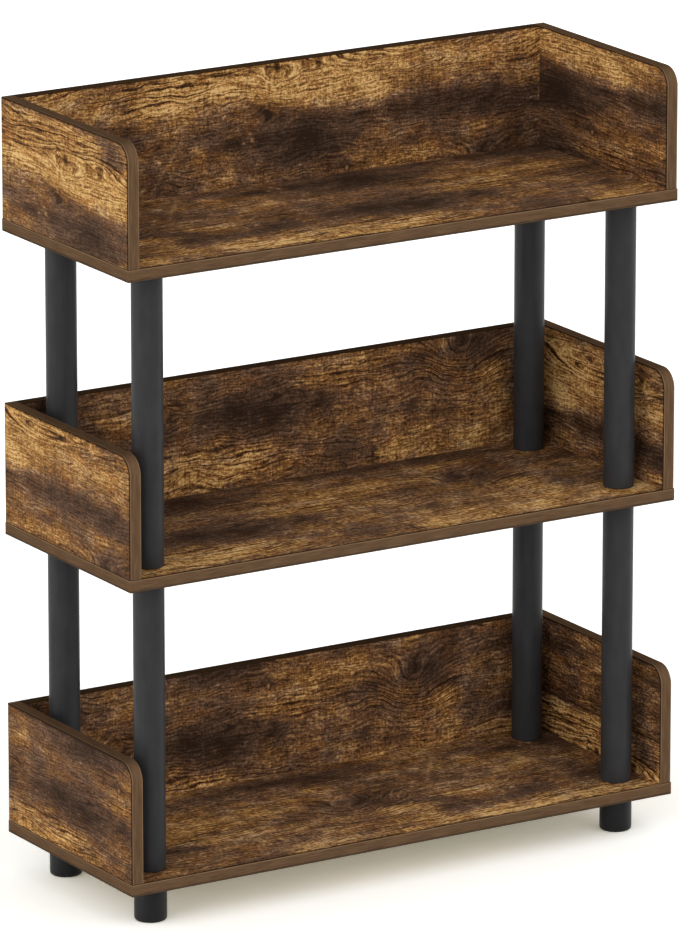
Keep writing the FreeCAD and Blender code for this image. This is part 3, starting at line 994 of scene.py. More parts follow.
        streak = self.streak.lay(bench, run)
        soft_patches = [*self.near(LIGHT_PATCHES, face), *self.near(BURNT_PATCHES, face)]
        soft, warmth = self.total(bench, self.ragged(bench, flat, waved, streak), soft_patches)
        fine, _ = self.total(bench, waved, [*self.near(CHIPS, face), *self.near(STROKES, face)])
        zone, _ = self.total(bench, waved, self.near(LINE_ZONES, face))

        body = (
            (self.middle_tone + face.crop.tone)
            + soft
            + self.broad.weighed(bench, run)
            + self.cloud.weighed(bench, flat.vector)
        )
        fibre = self.fibre.lay(bench, run)
        surface = (
            self.clump.weighed(bench, flat.vector)
            + streak * self.streak.weight
            + fibre * self.fibre.weight
            + self.hair.weighed(bench, run)
            + self.saw.weighed(bench, flat.vector)
            + self.band.weighed(bench, flat.vector)
            + self.mottle.weighed(bench, flat.vector)
        )
        depth = bench.rise(body, *self.pale_span) * (1 - self.dark_surface) + self.dark_surface

        drift = self.drift.lay(bench, run)
        bold = self.bold_lines.lay(bench, grain, drift, streak, zone) * self.gaps.mask(bench, run)
        threads = self.threads.lay(bench, grain, drift, streak, zone)
        tone = (
            body
            + surface * depth
            + fine
            - bold * self.bold_lines.depth
            - threads * self.threads.depth
            - self.wandering_lines(bench, run, zone)
            - self.joint(bench, flat)
            + self.speck.mask(bench, flat.vector) * self.speck.weight
            - self.pit.mask(bench, flat.vector) * self.pit.weight
        )
        contrast = face.crop.contrast
        tone = bench.math("MULTIPLY_ADD", tone, contrast, self.middle_tone * (1 - contrast))
        if face.lie is not Lie.BACK:
            tone = tone - self.rim(bench, face)

        warmth = (
            warmth
            + soft * self.warmth_by_patch
            + self.warmth.weighed(bench, flat.vector)
            + self.middle_warmth
        )
        height = streak * self.relief_by_streak + fibre * self.relief_by_fibre - bold * self.relief_by_line
        close_material(
            bench,
            {
                "Base Color": self.colour(bench, flat, tone, warmth),
                "Roughness": bench.math("MULTIPLY_ADD", streak, self.roughness_by_streak, self.roughness),
                "Specular IOR Level": self.gloss,
                "Normal": bench.relief(height, self.relief_depth, self.relief_strength),
            },
        )
        return material


@dataclass(frozen=True)
class BandFinish:
    """The plain brown band on the cut edges: fine lines along it, a pale arris that is wear and a painted
    highlight, a dark line next to the joint, and painted shade on upward runs and lower arrises.

    It reads the strip's own map: metres along the strip, then metres round its section from an inner corner.
    The dark line and the pale line grow towards the inner corners: each starts at its first distance from
    them and is full at its second. The pale line is wear and a painted highlight.
    """

    base: Colour = srgb(118, 92, 68)
    dark: Colour = srgb(91, 69, 50)
    # The pale colour is wear and a painted highlight along the arrises.
    pale: Colour = srgb(142, 115, 87)
    # The darkest brown: the dark line along the arrises next to the joint, and the colour of the painted
    # shade.
    dark_line_and_shade: Colour = srgb(46, 32, 20)
    lines: Layer = Layer((22 * MM, 0.9 * MM), 3.0, 0.65, weight=0.36)
    cloud: Layer = Layer((24 * MM, 5 * MM), offset=3.1, weight=0.14)
    middle_tone: float = 0.44
    dark_line_from: tuple[float, float] = (1.2 * MM, 0.8 * MM)
    wear_and_highlight_from: tuple[float, float] = (2.1 * MM, 1.4 * MM)
    wear_and_highlight_by_line: float = 0.12 * MM
    wear_and_highlight_share: float = 0.75
    # How softly a run of painted shade ends, and the painted shade on the lower arris of a board's band.
    run_end: float = 12 * MM
    lower_shade_span: tuple[float, float] = (1.9 * MM, 3.7 * MM)
    lower_painted_shade_tint: Colour = (0.46, 0.50, 0.56, 1.0)
    roughness: float = 0.5
    roughness_by_line: float = 0.05
    gloss: float = 0.0
    relief_depth: float = 0.06 * MM
    relief_strength: float = 0.4

    def painted_shade_run(self, bench: Bench, along: Number, run: tuple[float, float]) -> Number:
        """Gives 1 inside a run of painted shade along the strip, and 0 outside it.

        Args:
            bench: Where the nodes go.
            along: The place along the strip.
            run: Where the run starts and ends.

        Returns:
            The run, with soft ends.
        """
        start, end = run
        entered = bench.rise(along, start - self.run_end, start + self.run_end)
        left = bench.rise(along, end - self.run_end, end + self.run_end)
        return entered * (1 - left)

    def material(
        self,
        name: str,
        strip: "EdgeStrip",
        painted_shade_stretch: tuple[float, float] | None = None,
        painted_shade_share: float = 0.0,
        painted_lower_shade: bool = False,
    ) -> bpy.types.Material:
        """Makes the finish for one strip.

        Args:
            name: The material's name.
            strip: The strip, whose section sets where the arrises lie.
            painted_shade_stretch: The stretch along the strip that gets painted shade, if any.
            painted_shade_share: How dark that painted shade is, from 0 to 1.
            painted_lower_shade: Whether the strip gets painted shade along its lower arris.

        Returns:
            The material.
        """
        material, bench = new_material(name)
        spot = bench.node("ShaderNodeTexCoord").outputs["UV"]
        along, round_section, _ = bench.split(spot)
        half_girth = strip.outer_girth() / 2
        lines = self.lines.lay(bench, spot)
        cloud = self.cloud.weighed(bench, spot)
        from_middle = bench.math("ABSOLUTE", round_section - half_girth)
        # The pale line along the arrises: wear and a painted highlight.
        wear_and_highlight_reach = from_middle + lines * self.wear_and_highlight_by_line
        wear_and_highlight = bench.rise(wear_and_highlight_reach, *(half_girth - distance for distance in self.wear_and_highlight_from))
        # Where the dark line lies along the arrises, next to the joint.
        dark_line_and_shade = bench.rise(from_middle, *(half_girth - distance for distance in self.dark_line_from))
        tone = lines * self.lines.weight + cloud + self.middle_tone
        colour = bench.mix(bench.rise(tone, 0.0, 1.0), self.dark, self.base)
        colour = bench.mix(wear_and_highlight * self.wear_and_highlight_share, colour, self.pale)
        colour = bench.mix(dark_line_and_shade, colour, self.dark_line_and_shade)
        # Painted shade: a run that faces up gets less light from above, so its colour is mixed towards the
        # darkest brown.
        if painted_shade_stretch:
            colour = bench.mix(self.painted_shade_run(bench, along, painted_shade_stretch) * painted_shade_share, colour, self.dark_line_and_shade)
        # Painted shade: the lower arris, turned down away from the light, is darkened and cooled.
        if painted_lower_shade:
            foot = 1 - bench.rise(round_section, *self.lower_shade_span)
            colour = bench.mix(foot, colour, self.lower_painted_shade_tint, "MULTIPLY")
        close_material(
            bench,
            {
                "Base Color": colour,
                "Roughness": bench.math("MULTIPLY_ADD", lines, self.roughness_by_line, self.roughness),
                "Specular IOR Level": self.gloss,
                "Normal": bench.relief(lines, self.relief_depth, self.relief_strength),
            },
        )
        return material


@dataclass(frozen=True)
class BlackPlastic:
    """Satin black: fine drawn lines down the length, a soft mottle, a fine grit and paler rubbed places."""

    base: Colour = srgb(47, 47, 48)
    rubbed: Colour = srgb(59, 59, 60)
    roughness: float = 0.38
    gloss: float = 0.10
    lines: Layer = Layer((0.5 * MM, 0.5 * MM, 90 * MM), weight=0.3)
    mottle: Layer = Layer((9 * MM, 9 * MM, 22 * MM), 3.0, offset=2.9, weight=0.5)
    grit: Layer = Layer((0.45 * MM, 0.45 * MM, 0.45 * MM), 1.0, offset=6.1, weight=0.2)
    rubbed_span: tuple[float, float] = (-0.9, 1.3)
    roughness_by_noise: float = 0.03
    relief_by_grit: float = 0.6
    relief_by_line: float = 0.4
    relief_depth: float = 0.03 * MM
    relief_strength: float = 0.3

    def material(self, name: str) -> bpy.types.Material:
        """Makes the finish.

        Args:
            name: The material's name.

        Returns:
            The material.
        """
        material, bench = new_material(name)
        spot = bench.node("ShaderNodeTexCoord").outputs["Object"]
        lines = self.lines.lay(bench, spot)
        mottle = self.mottle.lay(bench, spot)
        grit = self.grit.lay(bench, spot)
        rubbing = lines * self.lines.weight + mottle * self.mottle.weight + grit * self.grit.weight
        share = bench.rise(rubbing, *self.rubbed_span)
        height = grit * self.relief_by_grit + lines * self.relief_by_line
        close_material(
            bench,
            {
                "Base Color": bench.mix(share, self.base, self.rubbed),
                "Roughness": mottle * self.roughness_by_noise
                + lines * self.roughness_by_noise
                + self.roughness,
                "Specular IOR Level": self.gloss,
                "Normal": bench.relief(height, self.relief_depth, self.relief_strength),
            },
        )
        return material


@dataclass(frozen=True)
class PlatedSteel:
    """Plated steel of the hidden screws and inserts: brushed rings and faint stains."""

    base: Colour = srgb(176, 174, 166)
    stain: Colour = srgb(128, 122, 104)
    roughness: float = 0.34
    rings: Layer = Layer((9 * MM, 9 * MM, 0.25 * MM), weight=0.05)
    stains: Layer = Layer((3 * MM, 3 * MM, 3 * MM), 3.0, offset=4.0, weight=0.08)
    stain_span: tuple[float, float] = (-0.1, 1.0)
    relief_depth: float = 0.03 * MM
    relief_strength: float = 0.4

    def material(self, name: str) -> bpy.types.Material:
        """Makes the finish.

        Args:
            name: The material's name.

        Returns:
            The material.
        """
        material, bench = new_material(name)
        spot = bench.node("ShaderNodeTexCoord").outputs["Object"]
        rings = self.rings.lay(bench, spot)
        stains = self.stains.lay(bench, spot)
        share = bench.rise(stains, *self.stain_span)
        close_material(
            bench,
            {
                "Base Color": bench.mix(share, self.base, self.stain),
                "Roughness": stains * self.stains.weight + rings * self.rings.weight + self.roughness,
                "Metallic": 1.0,
                "Normal": bench.relief(rings, self.relief_depth, self.relief_strength),
            },
        )
        return material


@dataclass(frozen=True)
class DowelWood:
    """Pale turned hardwood of the hidden dowels, with its fibres along them."""

    pale: Colour = srgb(214, 184, 140)
    dark: Colour = srgb(176, 140, 96)
    roughness: float = 0.62
    fibres: Layer = Layer((14 * MM, 0.5 * MM, 0.5 * MM), 3.0, weight=0.06)
    fibre_span: tuple[float, float] = (-0.8, 0.9)
    relief_depth: float = 0.06 * MM
    relief_strength: float = 0.5

    def material(self, name: str) -> bpy.types.Material:
        """Makes the finish.

        Args:
            name: The material's name.

        Returns:
            The material.
        """
        material, bench = new_material(name)
        spot = bench.node("ShaderNodeTexCoord").outputs["Object"]
        fibres = self.fibres.lay(bench, spot)
        share = bench.rise(fibres, *self.fibre_span)
        close_material(
            bench,
            {
                "Base Color": bench.mix(share, self.pale, self.dark),
                "Roughness": fibres * self.fibres.weight + self.roughness,
                "Normal": bench.relief(fibres, self.relief_depth, self.relief_strength),
            },
        )
        return material


def lay_surface(
    name: str,
    points: np.ndarray,
    along: np.ndarray,
    round_section: np.ndarray,
    ring: bool,
    sharp_angle: float = 35.0,
) -> bpy.types.Object:
    """Makes a closed piece from a grid of points.

    Row i of the grid is the section at step i of the path, and the last point of a section joins its first.
    With ring, the last row joins the first too. Otherwise each end is closed by one flat face. The faces are
    turned round if the volume they enclose, a sixth of the sum of each triangle's triple product, comes out
    negative.

    Args:
        name: The piece's name.
        points: Places, as rows by columns by 3.
        along: The map's first number at each row, with one more for a ring.
        round_section: The map's second number at each column, with one more than the columns.
        ring: Whether the path closes on itself.
        sharp_angle: The angle in degrees past which an edge stays sharp.

    Returns:
        The piece, in the scene.
    """
    rows, columns, _ = points.shape
    last = rows if ring else rows - 1
    i, j = np.meshgrid(np.arange(last), np.arange(columns), indexing="ij")
    following = (j + 1) % columns
    corner_rows = np.stack([i, i + 1, i + 1, i], -1).reshape(-1, 4)
    corner_columns = np.stack([j, j, j + 1, j + 1], -1).reshape(-1, 4)
    wrapped = np.stack([j, j, following, following], -1).reshape(-1, 4)
    faces = (corner_rows % rows) * columns + wrapped
    spots = np.stack([along[corner_rows], round_section[corner_columns]], -1)
    flat = points.reshape(-1, 3)
    a, b, c, d = (flat[faces[:, k]] for k in range(4))
    volume = np.einsum("ij,ij->i", a, np.cross(b, c) + np.cross(c, d)).sum() / 6
    loops, maps = [faces], [spots]
    if not ring:
        for row, order in ((0, slice(None, None, -1)), (rows - 1, slice(None))):
            end = (np.arange(columns) + row * columns)[order]
            spot = np.stack([np.full(columns, along[row]), round_section[:columns]], -1)[order]
            loops.append(end[None])
            maps.append(spot[None])
            outline = flat[end]
            fan = np.cross(outline[1:-1], outline[2:])
            volume += (fan @ outline[0]).sum() / 6
    if volume < 0:
        loops = [block[:, ::-1] for block in loops]
        maps = [block[:, ::-1] for block in maps]
    mesh = bpy.data.meshes.new(name)
    mesh.from_pydata(flat.tolist(), [], [loop for block in loops for loop in block.tolist()])
    layer = mesh.uv_layers.new(name="strip")
    layer.data.foreach_set("uv", np.concatenate([block.reshape(-1) for block in maps]).astype(np.float32))
    mesh.shade_smooth()
    mesh.set_sharp_from_angle(angle=math.radians(sharp_angle))
    mesh.validate()
    piece = bpy.data.objects.new(name, mesh)
    bpy.context.scene.collection.objects.link(piece)
    return piece


def arc(middle: Sequence[float], radius: float, start: float, end: float, steps: int) -> np.ndarray:
    """Points on an arc: middle + radius times (cosine, sine) of angles from start to end in degrees."""
    angle = np.radians(np.linspace(start, end, steps + 1))
    return np.array(middle) + radius * np.stack([np.cos(angle), np.sin(angle)], -1)


def running_length(points: np.ndarray, ring: bool) -> np.ndarray:
    """Adds up the distance along a path.

    Args:
        points: The path's points.
        ring: Whether the path closes on itself, which adds one more number for the way back.

    Returns:
        The distance from the start to each point.
    """
    route = np.vstack([points, points[:1]]) if ring else points
    steps = np.linalg.norm(np.diff(route, axis=0), axis=1)
    return np.concatenate([[0.0], np.cumsum(steps)])


@dataclass(frozen=True)
class EdgeStrip:
    """An edge band's section: its thickness, its width and the radius of its two outer arrises."""

    thickness: float
    width: float
    arris: float = 0.8 * MM
    arris_steps: int = 6

    def section(self) -> np.ndarray:
        """Gives the section's points as inset from the outer face and place across the strip.

        It starts at the inner lower corner, goes out, round the lower arris, up the outer face, round the
        upper arris and back in. The last run, along the glue face, closes it.

        Returns:
            The points, as rows of inset and across.
        """
        lower = arc((self.arris, self.arris), self.arris, 270, 180, self.arris_steps)
        upper = arc((self.arris, self.width - self.arris), self.arris, 180, 90, self.arris_steps)
        return np.vstack([[self.thickness, 0.0], lower, upper, [self.thickness, self.width]])

    def outer_girth(self) -> float:
        """Measures the way round the section from one inner corner over the outer face to the other."""
        return float(running_length(self.section(), ring=False)[-1])

    def carry(
        self,
        name: str,
        outer: np.ndarray,
        outward: np.ndarray,
        across: Sequence[float],
        ring: bool,
    ) -> bpy.types.Object:
        """Carries the section along a path.

        A point of the surface is the path's point, minus its inset times the outward direction, plus its
        place across times the across direction.

        Args:
            name: The piece's name.
            outer: The path on the outer face.
            outward: The outward direction at each point of the path.
            across: The direction across the strip.
            ring: Whether the path closes on itself.

        Returns:
            The strip.
        """
        section = self.section()
        points = (
            outer[:, None, :]
            - section[None, :, :1] * outward[:, None, :]
            + section[None, :, 1:] * np.array(across)[None, None, :]
        )
        return lay_surface(
            name, points, running_length(outer, ring), running_length(section, ring=True), ring
        )


def finish_piece(piece: bpy.types.Object, node: str, material: bpy.types.Material) -> None:
    """Puts a made piece in a node's place, and reports it.

    Args:
        piece: The piece.
        node: The node that it stands for.
        material: Its finish.
    """
    dress(piece, material)
    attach(piece, BODY)
    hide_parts(node)
    log.info("%s: %d faces, for %s", piece.name, len(piece.data.polygons), node)


# Each panel's crop of the sheet, chosen so that the same knots and burns lie where the photograph has them.
SIDE_CROPS = {
    (Tier.TOP, Hand.LEFT): Crop(5, 79.5, tone=0.03, contrast=0.81),
    (Tier.TOP, Hand.RIGHT): Crop(125, 122.5, tone=-0.09),
    (Tier.MIDDLE, Hand.LEFT): Crop(251, 98, tone=0.01, contrast=0.82),
    (Tier.MIDDLE, Hand.RIGHT): Crop(213.5, 80.5, contrast=1.12),
    (Tier.BOTTOM, Hand.LEFT): Crop(21.5, 177.5, tone=-0.01, contrast=0.82),
    (Tier.BOTTOM, Hand.RIGHT): Crop(2.5, 1.5, contrast=1.15),
}
BACK_CROPS = {
    Tier.TOP: Crop(-273, 112, 1.36, 0.86, tone=-0.05),
    Tier.MIDDLE: Crop(-188, 210, 1.25, 0.785),
    Tier.BOTTOM: Crop(-121.75, 188, 1.25, 0.785),
}
FLOOR_CROPS = {
    Tier.TOP: Crop(-190.5, 151, 0.996, 0.6256),
    # Painted light: the middle and bottom floors' tone of 0.10 brightens the two floors that the tray above
    # shades.
    Tier.MIDDLE: Crop(-5.2, 157.9, 0.996, 0.6256, tone=0.10),
    Tier.BOTTOM: Crop(-462.4, 139.7, 0.996, 0.6256, tone=0.10),
}


@dataclass
class Tray:
    """One tray: a board, two side panels and a back panel, with their edge bands, screws and dowels.

    The radii are those of an edge band's outer face at a side panel's upper front corner and at all others.
    """

    tier: Tier
    corner_radius: float = 18 * MM
    tight_radius: float = 1 * MM
    corner_steps: int = 16
    tight_steps: int = 5
    # A side band gets painted shade over its top, from a little before the round corner ends. A back band,
    # which faces up, gets much darker painted shade all along.
    top_run_lead: float = 8 * MM
    side_top_painted_shade: float = 0.40
    back_top_painted_shade: float = 0.86
    print_finish: RusticPrint = RusticPrint()
    band_finish: BandFinish = BandFinish()

    def node(self, part: str) -> str:
        """Names this tray's node for a part."""
        return f"{self.tier.value}_{part}"

    def build(self) -> None:
        """Makes and dresses all of the tray's pieces."""
        self.build_board()
        for hand in Hand:
            self.build_side(hand)
        self.build_back()
        dress_node(self.node("tray_screws"), PlatedSteel().material(self.node("screw_steel")))
        dress_node(self.node("tray_dowels"), DowelWood().material(self.node("dowel_wood")))
        log.info("%s tray dressed", self.tier.value)

    def build_board(self) -> None:
        """Bands the board all round and prints its faces.

        The path is the board's outline with rounded corners: each corner's middle plus the radius times the
        outward direction.
        """
        low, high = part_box(self.node("board_edge_band"))
        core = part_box(self.node("board"))[0]
        strip = EdgeStrip(thickness=core.x - low.x, width=high.z - low.z)
        radius = self.tight_radius
        corners = (
            (high.x - radius, low.y + radius, -90),
            (high.x - radius, high.y - radius, 0),
            (low.x + radius, high.y - radius, 90),
            (low.x + radius, low.y + radius, 180),
        )
        flat = np.vstack(
            [arc((x, y), radius, start, start + 90, self.tight_steps) for x, y, start in corners]
        )
        direction = np.vstack(
            [arc((0, 0), 1.0, start, start + 90, self.tight_steps) for _, _, start in corners]
        )
        outer = np.column_stack([flat, np.full(len(flat), low.z)])
        outward = np.column_stack([direction, np.zeros(len(flat))])
        piece = strip.carry(self.node("board_band"), outer, outward, (0, 0, 1), ring=True)
        finish_piece(
            piece,
            self.node("board_edge_band"),
            # The board band gets painted shade along its lower arris.
            self.band_finish.material(self.node("board_band_finish"), strip, painted_lower_shade=True),
        )
        face = PrintedFace(
            lie=Lie.FLOOR,
            corner=(low.x, high.y),
            size=((high.x - low.x) / MM, (high.y - low.y) / MM),
            crop=FLOOR_CROPS[self.tier],
            far_side=(0, 0, -1),
            band=strip.thickness,
        )
        dress_node(self.node("board"), self.print_finish.material(self.node("board_print"), face))

    def build_side(self, hand: Hand) -> None:
        """Bands a side panel over its front, round corner, top and back, and prints its faces.

        Args:
            hand: Which end of the rack the panel stands at.
        """
        place = f"{hand.value}_side"
        low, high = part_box(self.node(f"{place}_edge_band"))
        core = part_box(self.node(f"{place}_panel"))[0]
        strip = EdgeStrip(thickness=core.y - low.y, width=high.x - low.x)
        round_corner = (low.y + self.corner_radius, high.z - self.corner_radius)
        tight_corner = (high.y - self.tight_radius, high.z - self.tight_radius)
        flat = np.vstack(
            [
                [low.y, low.z],
                arc(round_corner, self.corner_radius, 180, 90, self.corner_steps),
                arc(tight_corner, self.tight_radius, 90, 0, self.tight_steps),
                [high.y, low.z],
            ]
        )
        direction = np.vstack(
            [
                [-1.0, 0.0],
                arc((0, 0), 1.0, 180, 90, self.corner_steps),
                arc((0, 0), 1.0, 90, 0, self.tight_steps),
                [1.0, 0.0],
            ]
        )
        outer = np.column_stack([np.full(len(flat), low.x), flat])
        outward = np.column_stack([np.zeros(len(flat)), direction])
        piece = strip.carry(self.node(f"{place}_band"), outer, outward, (1, 0, 0), ring=False)
        front = round_corner[1] - low.z
        turn = front + self.corner_radius * math.pi / 2
        finish_piece(
            piece,
            self.node(f"{place}_edge_band"),
            self.band_finish.material(
                self.node(f"{place}_band_finish"),
                strip,
                # Painted shade over the band's top.
                painted_shade_stretch=(turn - self.top_run_lead, turn + tight_corner[0] - round_corner[0]),
                painted_shade_share=self.side_top_painted_shade,
            ),
        )
        face = PrintedFace(
            lie=Lie.SIDE,
            corner=(high.y, high.z),
            size=((high.y - low.y) / MM, (high.z - low.z) / MM),
            crop=SIDE_CROPS[self.tier, hand],
            far_side=(1, 0, 0),
            band=strip.thickness,
            front_radius=self.corner_radius,
        )
        finish = self.print_finish.material(self.node(f"{place}_print"), face)
        dress_node(self.node(f"{place}_panel"), finish)

    def build_back(self) -> None:
        """Bands the back panel's top edge and prints its faces."""
        low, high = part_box(self.node("back_edge_band"))
        strip = EdgeStrip(thickness=high.z - low.z, width=high.y - low.y)
        outer = np.array([[low.x, low.y, high.z], [high.x, low.y, high.z]])
        outward = np.array([[0.0, 0.0, 1.0]] * 2)
        piece = strip.carry(self.node("back_band"), outer, outward, (0, 1, 0), ring=False)
        length = high.x - low.x
        finish_piece(
            piece,
            self.node("back_edge_band"),
            self.band_finish.material(
                self.node("back_band_finish"),
                strip,
                # Painted shade over the whole upward-facing band.
                painted_shade_stretch=(-length, 2 * length),
                painted_shade_share=self.back_top_painted_shade,
            ),
        )
        board_low, board_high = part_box(self.node("board_edge_band"))
        face = PrintedFace(
            lie=Lie.BACK,
            corner=(board_low.x, high.z),
            size=((board_high.x - board_low.x) / MM, (high.z - board_high.z) / MM),
            crop=BACK_CROPS[self.tier],
            far_side=(0, 1, 0),
            band=strip.thickness,
        )
        dress_node(self.node("back_panel"), self.print_finish.material(self.node("back_print"), face))


def revolve(
    name: str, profile: np.ndarray, middle: tuple[float, float], steps: int, closed: bool
) -> bpy.types.Object:
    """Turns a profile about an upright axis.

    A point is (middle x + radius times cosine, middle y + radius times sine, height), with the angle from 0
    to a full turn. A closed profile makes a ring such as a tube. An open one starts and ends on the axis,
    where its end points are joined into one.

    Args:
        name: The piece's name.
        profile: Rows of radius and height.
        middle: The axis's place.
        steps: How many flats the full turn has.
        closed: Whether the profile's last point joins its first.

    Returns:
        The piece.
    """
    angle = np.linspace(0, FULL_TURN, steps, endpoint=False)
    radius, height = profile[:, 0], profile[:, 1]
    points = np.stack(
        [
            middle[0] + radius[None] * np.cos(angle)[:, None],
            middle[1] + radius[None] * np.sin(angle)[:, None],
            np.broadcast_to(height, (steps, len(height))),
        ],
        -1,
    )
    widest = float(radius.max())
    piece = lay_surface(
        name,
        points,
        np.linspace(0, FULL_TURN * widest, steps + 1),
        running_length(profile, ring=True),
        ring=True,
    )
    if not closed:
        weld(piece.data)
    return piece


def weld(mesh: bpy.types.Mesh, distance: float = 1e-6) -> None:
    """Joins points that lie together, and drops the faces that this closes up.

    Args:
        mesh: The mesh.
        distance: How near points have to be to be joined, in metres.
    """
    work = bmesh.new()
    work.from_mesh(mesh)
    bmesh.ops.remove_doubles(work, verts=work.verts, dist=distance)
    bmesh.ops.dissolve_degenerate(work, edges=work.edges, dist=distance)
    work.to_mesh(mesh)
    work.free()


@dataclass
class Column:
    """One corner's stack: a foot, a lower tube and an upper tube, with the plugs in the tubes' ends."""

    end: End
    hand: Hand
    steps: int = 96
    tube_wall: float = 2 * MM
    tube_end_radius: float = 1.5 * MM
    foot_wall: float = 3 * MM
    foot_floor: float = 4 * MM
    foot_boss_radius: float = 9.5 * MM
    foot_edge_radius: float = 3 * MM
    foot_top_radius: float = 0.6 * MM
    stud_radius: float = 6 * MM
    stud_chamfer: float = 1.2 * MM
    tube_end_steps: int = 8
    foot_edge_steps: int = 10
    foot_top_steps: int = 4
    tube_finish: BlackPlastic = BlackPlastic()
    foot_finish: BlackPlastic = BlackPlastic(
        base=srgb(22, 22, 23), rubbed=srgb(32, 32, 33), roughness=0.42, gloss=0.15
    )
    plug_finish: BlackPlastic = BlackPlastic(
        base=srgb(30, 30, 31),
        rubbed=srgb(48, 48, 49),
        roughness=0.5,
        gloss=0.3,
        lines=Layer((4 * MM, 4 * MM, 4 * MM), weight=0.3),
    )

    def place(self) -> str:
        """Names the column's corner of the rack."""
        return f"{self.end.value}_{self.hand.value}"

    def build(self) -> None:
        """Makes and dresses the column's pieces."""
        self.build_foot()
        for level in Level:
            self.build_tube(level)
            for plug in ("socket_plug", "stud_plug"):
                name = f"{level.value}_{self.place()}_{plug}"
                dress_node(name, self.plug_finish.material(f"{name}_plastic"))
        log.info("%s column dressed", self.place())

    def build_tube(self, level: Level) -> None:
        """Makes a tube: its wall's outline, with two rounded outer corners, turned about its axis.

        Args:
            level: Below or above the middle tray.
        """
        node = f"{level.value}_{self.place()}_tube"
        low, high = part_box(node)
        radius = (high.x - low.x) / 2
        bore = radius - self.tube_wall
        curve = self.tube_end_radius
        profile = np.vstack(
            [
                [bore, low.z],
                arc((radius - curve, low.z + curve), curve, -90, 0, self.tube_end_steps),
                arc((radius - curve, high.z - curve), curve, 0, 90, self.tube_end_steps),
                [bore, high.z],
            ]
        )
        middle = ((low.x + high.x) / 2, (low.y + high.y) / 2)
        piece = revolve(f"{level.value}_{self.place()}_post", profile, middle, self.steps, closed=True)
        finish_piece(piece, node, self.tube_finish.material(f"{node}_plastic"))

    def build_foot(self) -> None:
        """Makes a foot: a cup with a rounded lower edge, a boss in it and a stud, turned about its axis."""
        node = f"{self.place()}_foot"
        low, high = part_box(node)
        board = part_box("bottom_board")[0].z
        radius = (high.x - low.x) / 2
        inner = radius - self.foot_wall
        curve, top_curve = self.foot_edge_radius, self.foot_top_radius
        profile = np.vstack(
            [
                [0.0, low.z],
                arc((radius - curve, low.z + curve), curve, -90, 0, self.foot_edge_steps),
                arc((radius - top_curve, board - top_curve), top_curve, 0, 90, self.foot_top_steps),
                [inner, board],
                [inner, low.z + self.foot_floor],
                [self.foot_boss_radius, low.z + self.foot_floor],
                [self.foot_boss_radius, board],
                [self.stud_radius, board],
                [self.stud_radius, high.z - self.stud_chamfer],
                [self.stud_radius - self.stud_chamfer, high.z],
                [0.0, high.z],
            ]
        )
        middle = ((low.x + high.x) / 2, (low.y + high.y) / 2)
        piece = revolve(f"{self.place()}_foot_cup", profile, middle, self.steps, closed=False)
        finish_piece(piece, node, self.foot_finish.material(f"{node}_plastic"))


@dataclass(frozen=True)
class Lamp:
    """A far, soft lamp.

    The azimuth and elevation, in degrees, say where it stands, as a viewer would, and the spread how wide it
    looks. A lamp for gloss only shows in glossy surfaces, as a highlight.
    """

    name: str
    azimuth: float
    elevation: float
    strength: float
    spread: float
    for_gloss: bool = False


